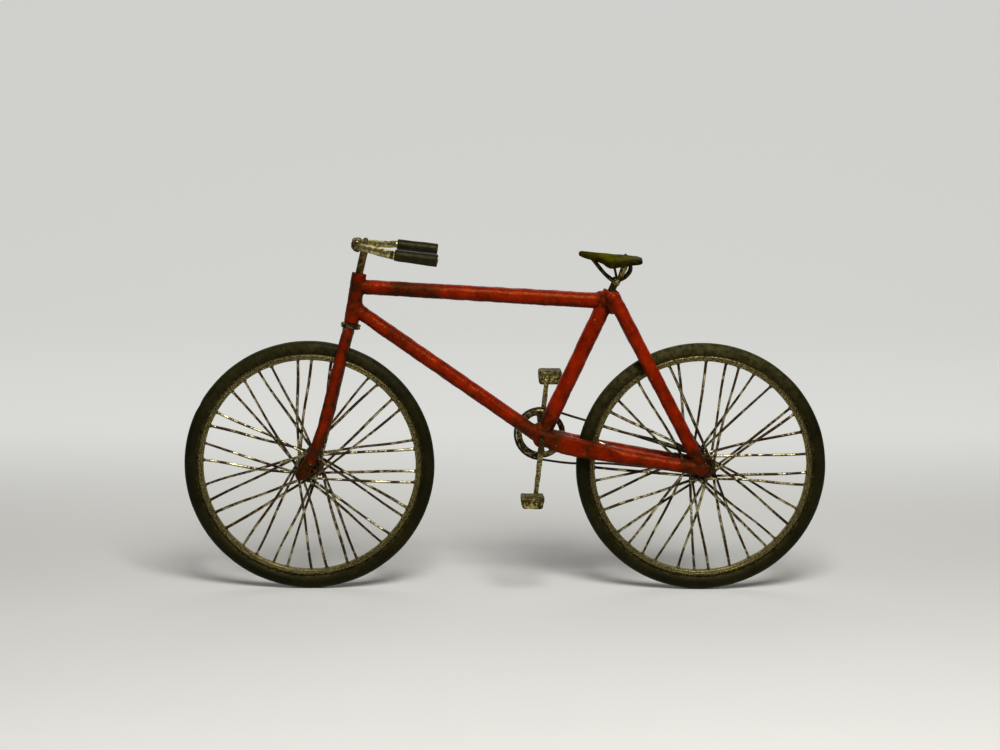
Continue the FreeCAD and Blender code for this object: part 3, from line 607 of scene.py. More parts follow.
def swell_frame(places, normals):
    """The tubes aren't quite round, and the left crank and the chainring need room to pass the stays."""
    x, y, z = places.T
    normal_x, normal_y, normal_z = normals.T
    x += np.where(segment_distance(places, SEAT_UP * 2.5, SEAT_UP * 16.5) < 1.2, clamp(normal_x) * 0.07, 0)
    stay_line = segment_distance(places, SEAT_KNOT + at(-0.6, 0, -0.8), REAR_AXLE)
    on_seat_stay = (stay_line - np.abs(y) * 0.9 < 1.0) & (x < -9)
    lean = clamp(normals @ np.array((-0.87, 0, 0.5)))
    places += normals * np.where(on_seat_stay, lean * 0.08, 0)[:, None]
    on_chain_stay = (np.abs(y) > 0.9) & (x < -0.9) & (z < 1.6)
    swell = np.interp(x, (-14, -9, -5, -2.5, -0.9), (0, 0.08, 0.22, 0.27, 0.12))
    swell *= np.where(y > 0, 1, 0.35) * on_chain_stay
    outward = clamp(normal_y * np.sign(y)) * np.sign(y)
    places += np.stack((normal_x, outward, normal_z), axis=1) * swell[:, None]
    on_top_tube = (segment_distance(places, HEAD_KNOT, SEAT_KNOT) < 1.3) & (x > -6.6)
    sag = np.interp(x, (-7, 6, 20), (0.17, 0.12, 0.02))
    z -= np.where(on_top_tube, clamp(-normal_z) * sag, 0)
    aside = np.abs(y)
    passed = clamp((x + 9.5) / 1.5) * (aside > STAY_SIDE)
    y += passed * (STAY_SIDE + 0.25 * np.tanh((aside - STAY_SIDE) / 0.25) - aside) * np.sign(y)


def frame_dirt_and_shade(places, normals, knot_distance):
    """Dirt in the joints and their cracks, and where hands and oil have left it, with painted shade on the
    undersides, a little on the tops, and on the front of the head tube.
    """
    joints = clamp(1.1 - knot_distance / 1.9)
    crack = clamp(1 - np.abs(noise_at(places, 1 / 1.9, at(5, 2, 9))) / 0.16) * joints
    # Painted shade: darker on the undersides, and a little darker on the tops.
    under = clamp(-normals[:, 2] * 0.9 - 0.1)
    upper = clamp(normals[:, 2] * 1.5 - 0.85)
    patch = clamp(1.6 - segment_distance(places, (16.9, 0.3, 17.6), (13.2, 0.3, 17.2)) / 1.1)
    head = clamp(1.25 - segment_distance(places, HEAD_BOTTOM, HEAD_TOP) / 1.0)
    # Painted shade: the head tube is darker on its front-facing side.
    front = head * clamp(normals[:, 0] * 1.2 + 0.1)
    rear = np.maximum(*(near_to(places, REAR_AXLE + at(0.3, face * 2.4, 0), 3.2) for face in (1, -1)))
    seat = near_to(places, SEAT_KNOT + at(0.2, 0.8, -0.2), 2.2)
    bracket = near_to(places, (0.3, 1.4, 0.9), 4.0)
    return (joints * 0.5 + crack * 1.1 + seat * 0.6 + under * 0.5 + upper * 0.2 + patch * 1.1 + head * 0.5
            + front * 0.6 + rear * 2.2 + bracket * 1.9)


def fork_skin():
    members = ["fork_crown", "fork_blade_left", "fork_blade_right"]
    extra = []
    for face in (1, -1):
        extra += blobs((CROWN + at(-0.02, face * 1.45, 0.0), (0.72, 0.85, 0.72), 31 + face),
                       (FRONT_AXLE + at(0.1, face * 2.2, -0.35), (0.74, 0.62, 0.78), 35 + face, 0.16))
    extra += blobs((CROWN + HEAD_UP * 0.15, (0.7, 1.0, 0.66), 33))
    skin = welded("fork_skin", members, extra, 0.11)
    smoothed(skin, 0.8, 5)
    places = coordinates(skin)
    x, y, z = places.T
    x += 0.2 * clamp(z / 11) + 0.32 * clamp((1.5 - z) / 4)
    middle = clamp(1 - np.abs(z - 2.5) / 6.5)
    x -= 0.14 * middle
    places += normals_of(skin) * (0.07 * middle)[:, None]
    put_coordinates(skin, places)
    lumped(skin, (1.3, 0.05, 5.7), (0.45, 0.025, 1.4))
    places = coordinates(skin)
    normal_x = normals_of(skin)[:, 0]
    low = clamp(1.3 - axle_distance(places, FRONT_AXLE) / 4.2)
    # Painted shade on the blades' front and back faces, dirt near the axle, and the whole fork a little darker.
    behind, front = clamp(-normal_x * 0.9 - 0.1), clamp(normal_x * 0.9 - 0.2)
    grime_and_shade = clamp(low * 1.1 + behind * 0.6 + front * 0.6 + 0.42)
    skin = bored(skin, (FRONT_AXLE + at(0, 2.68, 0), FRONT_AXLE - at(0, 2.68, 0), AXLE_BORE),
                 (CROWN, HEAD_BOTTOM + HEAD_UP * 1.5, CROWN_BORE))
    remask(skin, "grime_and_shade", places, grime_and_shade)
    add_object("fork_skin", skin, "steering", PAINT, members)


# Wheels
TYRE_MIDDLE = 14.09
TYRE_SECTION = 0.84
RIM_INNER = 12.63
RIM_FLANK = [(13.06, 0.52), (12.97, 0.5), (12.91, 0.45), (12.85, 0.49), (12.74, 0.48), (12.65, 0.37), (12.68, 0.12)]
TANGENT_RADIUS = 1.3
SPOKE_LIFT = 0.255
# Where each spoke meets the rim, in degrees round the wheel as the photograph shows it
FRONT_SPOKES = [
    9, 13.8, 32, 38.8, 50, 56, 72, 78, 88.5, 96, 110.5, 118, 127, 136, 150, 158.5, 168, 177.5, 191, 200,
    207, 217.5, 230.8, 239.5, 249.7, 257.5, 270.8, 279, 290.7, 296, 312.5, 318.7, 331, 335.8, 350.8, 356.5,
]
REAR_SPOKES = [
    7, 19, 30, 33.5, 49.7, 60.7, 70, 77, 88, 103, 108, 119, 126.8, 141.5, 149, 158, 166.8, 181, 188, 198,
    204.8, 219.5, 227.8, 237.7, 245.2, 258.5, 267.5, 275.3, 286.8, 298.2, 309.5, 315.8, 326.5, 336, 350, 356.5,
]


def wheel_point(radius, angle, aside):
    return at(radius * cos(angle), aside, radius * sin(angle))


def ring_mesh(name, centre, profile, steps, wobble):
    """A profile of (radius, aside) pairs turned round the axle."""
    verts = []
    for angle in turns_of(steps):
        for index, (radius, aside) in enumerate(profile):
            lift = wobble(angle, index)
            verts.append(centre + wheel_point(radius + lift[0], angle, aside + lift[1]))
    return cleaned(mesh_of(name, verts, lattice(steps, len(profile), True)), 0.0005)


def tyre_skin(label, centre, seed):
    """Worn flat on top at the rear, with a seam at the front, and lighter on top: dust, and painted light from above.
    """
    rear = label == "rear"
    profile = []
    for angle in turns_of(28):
        flatten = 1 - 0.03 * max(0, cos(angle)) ** 3
        profile.append((TYRE_MIDDLE + TYRE_SECTION * flatten * cos(angle), TYRE_SECTION * 0.985 * sin(angle)))

    def wobble(angle, index):
        place = wheel_point(5, angle, index * 0.12 + seed)
        if rear:
            worn = 0.09 * max(0, cos(angle - radians(80))) ** 2
        else:
            worn = 0.08 * exp(-((angle - 0.5) / 0.035) ** 2)
        return 0.022 * noise.noise(place) - 0.012 - worn, 0.025 * noise.noise(place * 0.8 + at(4, 4, 4))

    mesh = ring_mesh(label + "_tyre_skin", centre, profile, 200, wobble)
    places = coordinates(mesh)
    put_mask(mesh, "edge", clamp((13.62 - axle_distance(places, centre)) / 0.2))
    turn = np.arctan2(places[:, 2] - centre.z, places[:, 0] - centre.x)
    # Lighter towards the top of the wheel: dust, and painted light from above; more on the rear.
    put_mask(mesh, "dust_and_top_light", clamp(np.cos(turn - radians(85)) * 1.5 - 0.5) * (0.9 if rear else 0.35))
    add_object(label + "_tyre_skin", mesh, label + "_wheel", TYRE, [label + "_tyre"])


def rim_skin(label, centre, seed):
    """A rim whose bed follows the tyre, with a groove along each flank."""
    bed_radius = TYRE_SECTION + 0.02
    bed = [0.5 - index / 8 for index in range(9)]
    profile = [(TYRE_MIDDLE - sqrt(bed_radius ** 2 - aside ** 2), aside) for aside in bed]
    profile += [(radius, -aside) for radius, aside in RIM_FLANK] + RIM_FLANK[::-1]

    def wobble(angle, index):
        if index < len(bed):
            return -0.015, 0
        place = wheel_point(7, angle, index * 0.25 + seed)
        return 0.035 * noise.noise(place * 1.4), 0.02 * noise.noise(place * 1.2 + at(3, 1, 7))

    mesh = ring_mesh(label + "_rim_skin", centre, profile, 240, wobble)
    radius = axle_distance(coordinates(mesh), centre)
    rust = clamp(1.2 - np.abs(radius - 12.91) / 0.05) + np.clip((radius - 13.0) / 0.1, 0, 0.45)
    put_mask(mesh, "rust", rust)
    add_object(label + "_rim_skin", mesh, label + "_wheel", RIM_METAL, [label + "_rim"])


def spoke_skin(label, centre, flange_aside, photo_degrees, seed):
    """Slightly crooked wires laced as in the part, with a dot of solder where each meets the rim."""
    pick = random.Random(seed)
    wires, dots = [], []
    steps = 14
    for index, degrees in enumerate(photo_degrees):
        rim_angle = radians(180 - degrees)
        turn = (-1, -1, 1, 1)[index % 4]
        face = 1 if index % 2 == 0 else -1
        foot_angle = rim_angle + turn * acos(TANGENT_RADIUS / RIM_INNER)
        foot_aside = flange_aside + (SPOKE_LIFT + 0.1 if turn > 0 else -SPOKE_LIFT)
        foot = wheel_point(TANGENT_RADIUS, foot_angle, face * foot_aside)
        end = wheel_point(RIM_INNER + 0.08, rim_angle, face * 0.18)
        along = (end - foot).normalized()
        across = along.cross(at(0, 1, 0)).normalized()
        bow = pick.uniform(-0.16, 0.16)
        kink = pick.uniform(-0.07, 0.07)
        tail = foot - along * pick.uniform(0.5, 1.3)
        line = []
        for step in range(steps + 1):
            t = step / steps
            line.append(centre + (tail.lerp(end, t) + across * (bow * sin(pi * t) + kink * sin(3 * pi * t))
                                  + at(0, 1, 0) * (0.03 * sin(2 * pi * t + index))))
        thick = pick.uniform(0.148, 0.172)
        radii = [thick * (1 + 0.07 * sin(7 * step / steps + index)) for step in range(steps + 1)]
        wires.append(tube(line, radii, 8))
        dots += blobs((centre + end - along * 0.06, (0.24, 0.2, 0.24), index + seed, 0.3, 6, 8))
    mesh = cleaned(mesh_of(label + "_spoke_skin", *joined(wires)))
    put_mask(mesh, "rust", np.clip((2.6 - axle_distance(coordinates(mesh), centre)) / 1.6, 0, 0.85))
    add_object(label + "_spoke_skin", mesh, label + "_wheel", SPOKE_METAL, [label + "_spokes"])
    mesh = cleaned(mesh_of(label + "_rim_solder", *joined(dots)))
    even_mask(mesh, "rust", 0.35)
    add_object(label + "_rim_solder", mesh, label + "_wheel", RIM_METAL)


def hub_skin(label, centre, flange_aside, half_length, seed):
    """A core with an open ring of wire for each flange, tied to it and to the spokes by lumps of solder."""
    pick = random.Random(seed)
    ends = at(0, half_length, 0)
    extra = [tube([centre - ends, centre + ends], 0.47, 20, round_ends=False)]
    for face in (1, -1):
        aside = face * flange_aside
        loop = [centre + wheel_point(1.02 + 0.05 * sin(step * 1.7 + seed), angle, aside)
                for step, angle in enumerate(turns_of(28))]
        extra.append(tube(loop, 0.2, 8, closed=True))
        for index in range(9):
            angle = tau * (index + pick.uniform(-0.2, 0.2)) / 9 + face
            knot = centre + wheel_point(1.28, angle, aside * 1.03)
            size = pick.uniform(0.18, 0.26)
            extra += blobs((knot, (size, 0.2, size), index + seed, 0.35, 6, 8))
            extra.append(tube([centre + wheel_point(0.4, angle, aside), knot], 0.17, 8))
    skin = welded(label + "_hub_skin", [], extra, 0.065)
    smoothed(skin, 0.7, 3)
    lumped(skin, (0.3, 0.03, 2.7))
    skin = bored(skin, (centre + ends * 2, centre - ends * 2, HUB_BORE))
    even_mask(skin, "rust", 0.5)
    add_object(label + "_hub_skin", skin, label + "_wheel", HUB_METAL, [label + "_hub"])


# Chainring and chain of black thread
RING_ASIDE = -2.9
SPROCKET_ASIDE = -1.15
CHAIN_RADIUS = 3.11
SPROCKET_CHAIN_RADIUS = 0.91


def chainring_skin():
    """A flat wire ring with two arms and a boss, its edge rounded by wear."""
    centre = at(0, RING_ASIDE, 0)
    extra = []
    for radius in (2.82, 2.64):
        loop = [centre + wheel_point(radius, angle, 0) for angle in turns_of(72)]
        extra.append(tube(loop, 0.15, 8, closed=True))
    skin = welded("chainring_skin", ["chainring"], extra, 0.06)
    smoothed(skin, 0.8, 4)
    lumped(skin, (0.7, 0.03, 4.4), (0.25, 0.015, 8.2))
    skin = bored(skin, (centre + at(0, 2, 0), centre - at(0, 2, 0), RING_BORE))
    even_mask(skin, "rust", 0.3)
    add_object("chainring_skin", skin, "cranks", RING_METAL, ["chainring"])


def chain_skin():
    """A slack loop round the chainring and the sprocket."""
    line_angle = atan2(REAR_AXLE.z - BRACKET.z, REAR_AXLE.x - BRACKET.x)
    lead = acos((CHAIN_RADIUS - SPROCKET_CHAIN_RADIUS) / (REAR_AXLE - BRACKET).length)
    upper, lower = line_angle - lead, line_angle + lead

    def on(centre, radius, angle, aside):
        return at(centre.x + radius * cos(angle), aside, centre.z + radius * sin(angle))

    around = [lower - tau + (upper + tau - lower) * step / 14 for step in range(15)]
    points = [on(BRACKET, CHAIN_RADIUS, angle, RING_ASIDE) for angle in around]
    around = [upper + (lower - upper) * step / 5 for step in range(6)]
    behind = [on(REAR_AXLE, SPROCKET_CHAIN_RADIUS, angle, SPROCKET_ASIDE) for angle in around]
    top_front, top_back = points[-1], behind[0]
    for t in (0.2, 0.4, 0.6, 0.8):
        points.append(top_front.lerp(top_back, t) + at(0, 0, 0.06 * sin(pi * t)))
    points += behind
    low_back, low_front = points[-1], points[0]
    for t, lift in ((0.2, 0.04), (0.4, 0.1), (0.6, 0.1), (0.8, -0.2)):
        points.append(low_back.lerp(low_front, t) + at(0, 0, lift))
    mesh = cleaned(mesh_of("chain_skin", *tube(smooth_line(points, 4, True), 0.145, 10, closed=True)))
    lumped(mesh, (0.3, 0.02, 2.2))
    add_object("chain_skin", mesh, "frame", THREAD, ["chain"])


# Handlebar, grips and stem. The bar sits a little turned in its knot, so its two sides differ.
BAR_YAW = {1: at(-0.13, 0, -0.05), -1: at(0.17, 0, -0.15)}
GRIP_ALONG = at(-0.99034, 0.06976, -0.11984)
GRIP_FRONT = BAR_MIDDLE + at(-4.716, 8.45, -0.571)
BAR_RADIUS = 0.42


def bar_half(face):
    corner = GRIP_FRONT - GRIP_ALONG * 0.5
    bend = BAR_MIDDLE + at(0, 3.3, 0)
    half = [
        GRIP_FRONT + GRIP_ALONG * 4.6, GRIP_FRONT + GRIP_ALONG * 0.2, GRIP_FRONT - GRIP_ALONG * 0.3,
        corner.lerp(bend, 0.12), corner.lerp(bend, 0.5) + at(0, 0, 0.03), corner.lerp(bend, 0.88),
        bend - at(0.05, 0.5, 0),
    ]
    placed = []
    for point in half:
        share = min(abs(point.y) / GRIP_FRONT.y, 1)
        droop = at(0, 0, -0.1 if face < 0 and abs(point.y) < 8 else 0)
        placed.append(at(point.x, point.y * face, point.z) + BAR_YAW[face] * share + droop)
    return placed


def handlebar_skin():
    line = smooth_line(bar_half(1) + [BAR_MIDDLE] + bar_half(-1)[::-1], 6)
    radii = []
    for place in line:
        thicker = 0.1 * min(abs(place.y) / 8.4, 1) ** 2 if place.y > 0 else 0
        radii.append(BAR_RADIUS + thicker + 0.015 * sin(place.y * 2.1))
    mesh = cleaned(mesh_of("handlebar_skin", *tube(line, radii, 16)))
    lumped(mesh, (0.8, 0.05, 4.2), (0.35, 0.02, 1.2))
    places = coordinates(mesh)
    near_bend = clamp(near_to(places, BAR_MIDDLE + at(0.2, 3.2, 0), 3.0) * 2.4)
    put_mask(mesh, "rust", near_bend + np.where(places[:, 1] < 0, 0.4, 0))
    add_object("handlebar_skin", mesh, "steering", BAR_METAL, ["handlebar"])


def grip_skin(label, face):
    """A sleeve of rubber whose end is cut square and a little rough."""
    along = at(GRIP_ALONG.x, GRIP_ALONG.y * face, GRIP_ALONG.z)
    inset, size, taper = (0.12, 0.672, 0.016) if face > 0 else (0.03, 0.64, 0.006)
    start = at(GRIP_FRONT.x, (GRIP_FRONT.y - inset) * face, GRIP_FRONT.z) + BAR_YAW[face]
    first = along.cross(at(0, 0, 1)).normalized()
    second = along.cross(first)
    profile = [(0.0, 0.42), (0.0, size - 0.05), (0.05, size - 0.015), (0.16, size)]
    profile += [(t, size + 0.012 * sin(t * 2.3) + taper * t) for t in np.linspace(0.4, 4.65, 14)]
    end = size + taper * 4.8
    profile += [(4.8, end), (4.88, end - 0.03), (4.92, end - 0.1), (4.9, 0.45), (4.83, 0.38), (4.7, 0.33), (4.5, 0.0)]
    sides = 32
    verts = []
    for reach, radius in profile:
        for angle in turns_of(sides):
            way = at(cos(angle), sin(angle), face * 5)
            uneven = radius * (1 + 0.02 * noise.noise(at(reach * 1.1, way.x, way.y + face * 5)))
            ragged = 0.05 * noise.noise(way * 2.2) if reach > 4.9 or reach < 0.1 else 0
            verts.append(start + along * (reach + ragged) + first * (uneven * way.x) + second * (uneven * way.y))
    mesh = cleaned(mesh_of("grip_skin_" + label, verts, lattice(len(profile), sides)))
    add_object("grip_skin_" + label, mesh, "steering", GRIP, ["grip_" + label])


def lug_skin():
    """The knot that holds the bar: turns of wire run over with solder."""
    extra = blobs(
        (BAR_MIDDLE + at(-0.02, 0.05, 0.1), (0.6, 0.72, 0.62), 3, 0.3),
        (BAR_MIDDLE + at(-0.75, 0.0, 0.05), (0.55, 0.55, 0.5), 5, 0.35),
        (BAR_MIDDLE + at(-1.05, -0.25, 0.36), (0.36, 0.36, 0.34), 6, 0.3),
        (BAR_MIDDLE + at(-0.3, 3.3, 0.08), (0.72, 0.66, 0.66), 8, 0.45),
        (BAR_MIDDLE + at(-0.95, 3.3, 0.12), (0.55, 0.55, 0.55), 9, 0.45),
        (BAR_MIDDLE + at(0.0, 3.0, 0.3), (0.42, 0.42, 0.4), 11, 0.3))
    extra.append(tube([at(20.917, 0, 22.57), BAR_MIDDLE - at(0.3, 0, 0.1)], 0.46, 14))
    turns = ((0.24, 0.4), (0.0, 0.08), (-0.25, -0.28), (-0.5, 0.3), (-0.06, 0.95), (-0.15, 1.5), (-0.08, 2.1),
             (-0.18, 2.7))
    for turn, (ahead, aside) in enumerate(turns):
        centre = BAR_MIDDLE + at(ahead - 0.08, aside, 0.08)
        loop = []
        for angle in turns_of(18):
            side = 0.1 * cos(angle) + 0.05 * (turn % 4) * sin(angle)
            if turn < 4:
                loop.append(centre + at(side, 0.55 * cos(angle), 0.55 * sin(angle)))
            else:
                loop.append(centre + at(0.45 * cos(angle), side, 0.5 * sin(angle)))
        extra.append(tube(loop, 0.13, 8, closed=True))
    for ahead, tilt in ((0.12, 0.1), (-0.3, -0.15), (-0.72, 0.12), (-1.1, -0.1)):
        centre = BAR_MIDDLE + at(ahead - 0.05, 3.25, 0.08)
        loop = [centre + at(tilt * sin(angle), 0.6 * cos(angle), 0.6 * sin(angle)) for angle in turns_of(18)]
        extra.append(tube(loop, 0.11, 8, closed=True))
    skin = welded("handlebar_knot", [], extra, 0.075)
    smoothed(skin, 0.8, 3)
    lumped(skin, (0.5, 0.07, 6.2))
    places = coordinates(skin)
    places[:, 2] = np.minimum(places[:, 2], MODEL_TOP)
    put_coordinates(skin, places)
    put_mask(skin, "rust", clamp(noise_at(places, 1 / 2.3, at(3, 8, 1)) * 2.4 + 0.4))
    add_object("handlebar_knot", skin, "steering", KNOT_METAL, ["handlebar_lug"])


def ring_skin():
    """The headset ring, a rough band under the head tube."""
    top = HEAD_BOTTOM - HEAD_UP * 0.05
    along = HEAD_UP * -1
    first = at(0, 1, 0)
    second = along.cross(first)
    profile = [(0.0, 0.48), (0.0, 1.1), (0.05, 1.17), (0.18, 1.2), (0.3, 1.14), (0.4, 1.18), (0.54, 1.15), (0.6, 1.0),
               (0.6, 0.48)]
    sides = 40
    verts = []
    for reach, radius in profile:
        for angle in turns_of(sides):
            size = radius
            if radius > 1:
                size += 0.1 * noise.noise(at(cos(angle) * 2.6, sin(angle) * 2.6, reach * 3)) - 0.03
            verts.append(top + along * reach + first * (size * cos(angle)) + second * (size * sin(angle)))
    mesh = cleaned(mesh_of("headset_ring_skin", verts, lattice(len(profile), sides, True)))
    add_object("headset_ring_skin", mesh, "steering", RING_METAL, ["headset_ring"])


# Saddle
SADDLE_NOSE = POST_TOP + at(4.3, 0, 3.76)
SADDLE_BACK = at(-0.99588, 0, -0.09063)
SADDLE_UP = at(-0.09063, 0, 0.99588)
SADDLE_LENGTH = 7.5
# Share of the length, half width, drop of the flank and thickness of its edge
SADDLE_ROWS = np.array([
    (0.0, 0.42, 0.56, 0.46), (0.05, 0.62, 0.7, 0.44), (0.15, 0.78, 0.9, 0.34), (0.28, 0.99, 1.04, 0.28),
    (0.38, 1.38, 1.22, 0.28), (0.45, 1.68, 1.6, 0.28), (0.52, 2.1, 1.7, 0.28), (0.66, 2.76, 1.32, 0.34),
    (0.84, 3.0, 0.98, 0.46), (0.95, 2.64, 0.84, 0.58), (1.0, 1.98, 0.72, 0.58),
])


def saddle_sizes(share):
    return [np.interp(share, SADDLE_ROWS[:, 0], SADDLE_ROWS[:, column]) for column in (1, 2, 3)]


def saddle_shell():
    """A closed shell of leather: crowned top, thin skirt and hollow underside."""
    steps, across_steps = 44, 24
    top, low = [], []
    for step in range(steps + 1):
        share = step / steps
        nearby = [saddle_sizes(min(max(share + shift, 0), 1)) for shift in (-0.03, -0.015, 0, 0.015, 0.03)]
        width, drop, thick = (float(sum(values)) / 5 for values in zip(*nearby))
        if share < 0.06:
            width *= sqrt(max(0.25, share / 0.06))
        if share > 0.95:
            width *= sqrt(max(0.3, (1 - share) / 0.05)) * 0.35 + 0.65
        base = SADDLE_NOSE + SADDLE_BACK * (SADDLE_LENGTH * share)
        end_drop = 0.18 * max(0, share - 0.93) / 0.07 + 0.1 * max(0, 0.04 - share) / 0.04
        hollow = min(drop * 0.62, 0.42)
        for index in range(across_steps + 1):
            t = 2 * index / across_steps - 1
            aside = width * sin(t * pi / 2)
            curve = (aside / width) ** 2
            wave = 0.03 * noise.noise(at(share * 5, t * 2, 3))
            upper = -(drop - thick) * curve + wave - end_drop - 0.01
            under = -hollow - (drop - hollow) * curve + 0.02
            top.append(base + SADDLE_UP * upper + at(0, aside, 0))
            low.append(base + SADDLE_UP * under + at(0, aside * 0.985, 0))
    row, start = across_steps + 1, len(top)
    faces = []
    for step in range(steps):
        for index in range(across_steps):
            a = step * row + index
            faces.append((a, a + 1, a + row + 1, a + row))
            faces.append((start + a, start + a + row, start + a + row + 1, start + a + 1))
    edges = []
    for a in range(0, steps * row, row):
        edges += [(a, a + row), (a + row + across_steps, a + across_steps)]
    for a in range(across_steps):
        edges += [(a, a + 1), (steps * row + a + 1, steps * row + a)]
    faces += [(a, b, start + b, start + a) for a, b in edges]
    holder = linked("saddle_work", cleaned(mesh_of("saddle_skin", top + low, faces)))
    holder.modifiers.new("soft", "SUBSURF").levels = 1
    return finished(holder)


def saddle_skin():
    skin = saddle_shell()
    lumped(skin, (0.9, 0.035, 2.6))
    places = coordinates(skin)
    places[:, 2] += 0.2 * np.exp(-(distance_to(places, (-9.8, 0, 21.8)) / 0.16) ** 2)
    put_coordinates(skin, places)
    back = (places - np.array(SADDLE_NOSE)) @ np.array(SADDLE_BACK) / SADDLE_LENGTH
    width = saddle_sizes(clamp(back))[0]
    flank = clamp((np.abs(places[:, 1]) / np.maximum(width, 0.3) - 0.62) / 0.25)
    nose, tail = clamp((0.22 - back) / 0.16) * 0.9, clamp((back - 0.93) / 0.06) * 0.9
    put_mask(skin, "edge", np.maximum(flank, np.maximum(nose, tail)))
    add_object("saddle_skin", skin, "frame", LEATHER, ["saddle"])


# For each pair of saddle wires: its piece, its node, the left wire's points and the radii along it
SADDLE_WIRES = [
    ("saddle_front_rail_skin", "saddle_front_rails",
     ((-8.26, 0.3, 18.85), (-7.69, 0.32, 19.29), (-7.19, 0.33, 19.76), (-6.14, 0.34, 21.03), (-5.8, 0.34, 21.38)),
     (0.26, 0.25, 0.235, 0.23, 0.2)),
    ("saddle_rear_rail_skin", "saddle_rear_rails",
     ((-9.2, 0.4, 18.85), (-9.75, 0.75, 19.18), (-10.26, 1.2, 19.8), (-10.4, 1.45, 20.4), (-10.3, 1.5, 20.9)),
     (0.17, 0.165, 0.16, 0.16, 0.15)),
    ("saddle_side_wire_skin", "saddle_side_wires",
     ((-8.8, 0.36, 18.95), (-8.68, 0.6, 19.5), (-8.5, 0.85, 20.25), (-8.42, 0.9, 20.6)), (0.14, 0.13, 0.12)),
]
STRUT_POINTS = ((-9.0, 0, 18.7), (-9.12, 0, 19.0), (-9.42, 0, 19.75), (-9.63, 0, 20.35), (-9.6, 0, 20.8))


def rail_skin():
    for name, node, points, radii in SADDLE_WIRES:
        wires = []
        for face in (1, -1):
            line = smooth_line([at(x, y * face, z) for x, y, z in points], 6)
            spread = np.interp(np.linspace(0, 1, len(line)), np.linspace(0, 1, len(radii)), radii)
            wires.append(tube(line, spread.tolist(), 10))
        mesh = cleaned(mesh_of(name, *joined(wires)))
        lumped(mesh, (0.6, 0.03, 3.3))
        add_object(name, mesh, "frame", WIRE_METAL, [node])
    line = smooth_line([at(*point) for point in STRUT_POINTS], 6)
    strut = tube(line, np.linspace(0.25, 0.47, len(line)).tolist(), 12, flat=0.36)
    mesh = cleaned(mesh_of("saddle_strut_skin", *strut))
    add_object("saddle_strut_skin", mesh, "frame", PEDAL_METAL, ["saddle_middle_strut"])
    lump = blobs((POST_TOP + SEAT_UP * 0.1, (0.56, 0.56, 0.6), 4, 0.25))
    skin = welded("saddle_clamp_skin", ["saddle_clamp"], lump, 0.08)
    smoothed(skin, 0.5, 4)
    add_object("saddle_clamp_skin", skin, "frame", KNOT_METAL, ["saddle_clamp"])


# Cranks and pedals. Each pedal's middle stands a little off its pin.
PIN_SHIFT = 0.42


def pedal_skin(label, middle, face):
    """A small block with worn round edges and a bore for its pin. The right one is taller and hangs lower."""
    low_width, half_height, lift = (0.86, 0.67, 0) if face > 0 else (0.95, 0.81, -0.13)
    work = bmesh.new()
    bmesh.ops.create_cube(work, size=2)
    for vert in work.verts:
        narrow = 1.0 if vert.co.z > 0 else low_width
        vert.co = at(vert.co.x * 1.42 * narrow, vert.co.y * 1.82, vert.co.z * half_height)
    bmesh.ops.bevel(work, geom=list(work.edges), offset=0.3, segments=4, profile=0.5, affect="EDGES")
    long_edges = [edge for edge in work.edges if edge.calc_length() > 0.5]
    bmesh.ops.subdivide_edges(work, edges=long_edges, cuts=7, use_grid_fill=True)
    for vert in work.verts:
        push = 0.09 * noise.noise(vert.co * 1.3 + at(face * 4, 0, 2))
        vert.co = (vert.co * 0.99 + vert.co.normalized() * push + middle + at(0, 0, lift) + ORIGIN) * MM
    # The bevel gives its points in no fixed order, so they are sorted to be the same each run
    work.verts.sort(key=lambda vert: vert.co.dot(at(1, 3.7, 17.3)))
    work.faces.sort(key=lambda face: face.calc_center_median().dot(at(1, 3.7, 17.3)))
    mesh = bpy.data.meshes.new("pedal_skin_" + label)
    work.to_mesh(mesh)
    work.free()
    pin = middle - at(PIN_SHIFT * face, 0, 0)
    mesh = bored(mesh, (pin + at(0, 3, 0), pin - at(0, 3, 0), PEDAL_BORE))
    places = coordinates(mesh)
    ends = (np.abs(places[:, 0] - middle.x) - 0.8) / 0.5
    top = (places[:, 2] - middle.z) / 0.3 + 0.1
    put_mask(mesh, "rust", np.clip(np.maximum(top, ends), 0, 0.95))
    add_object("pedal_skin_" + label, mesh, label + "_pedal", PEDAL_METAL, ["pedal_" + label])


def crank_skin(side, pin, aside):
    """A crank filed from rod, round along its length and flat at its ends."""
    name = "crank_" + side
    start, end = (at(pin.x * share, aside, pin.z * share) for share in (0.06, 0.95))
    rod = tube([start, start.lerp(end, 0.5), end], [0.34, 0.34, 0.3], 14)
    skin = welded(name + "_skin", [name], [rod], 0.06)
    smoothed(skin, 0.9, 6)
    places = coordinates(skin)
    line = clamp((places @ np.array(pin)) / pin.length_squared)
    off = (places - line[:, None] * np.array(pin)) * (1, 0, 1)
    places -= off * (0.14 + clamp(1 - line / 0.12) * 0.1)[:, None]
    put_coordinates(skin, places)
    lumped(skin, (0.9, 0.05, 3.6), (0.3, 0.025, 7.1))
    add_object(name + "_skin", skin, "cranks", CRANK_METAL, [name])


frame_skin()
fork_skin()
for label, centre, flange, half_length, degrees, seed in (
        ("front", FRONT_AXLE, 0.75, 1.45, FRONT_SPOKES, 5), ("rear", REAR_AXLE, 0.5, 1.4, REAR_SPOKES, 6)):
    tyre_skin(label, centre, seed)
    rim_skin(label, centre, seed)
    spoke_skin(label, centre, flange, degrees, seed)
    hub_skin(label, centre, flange, half_length, seed)
chain_skin()
handlebar_skin()
grip_skin("left", 1)
grip_skin("right", -1)
lug_skin()
ring_skin()
saddle_skin()
rail_skin()
for side, face, pedal_middle, crank_aside in (
        ("left", 1, at(1.149, 5.325, -6.7105), 3.1), ("right", -1, at(-1.149, -5.675, 6.7105), -3.45)):
    pedal_skin(side, pedal_middle, face)
    crank_skin(side, at(pedal_middle.x - PIN_SHIFT * face, 0, pedal_middle.z), crank_aside)
chainring_skin()

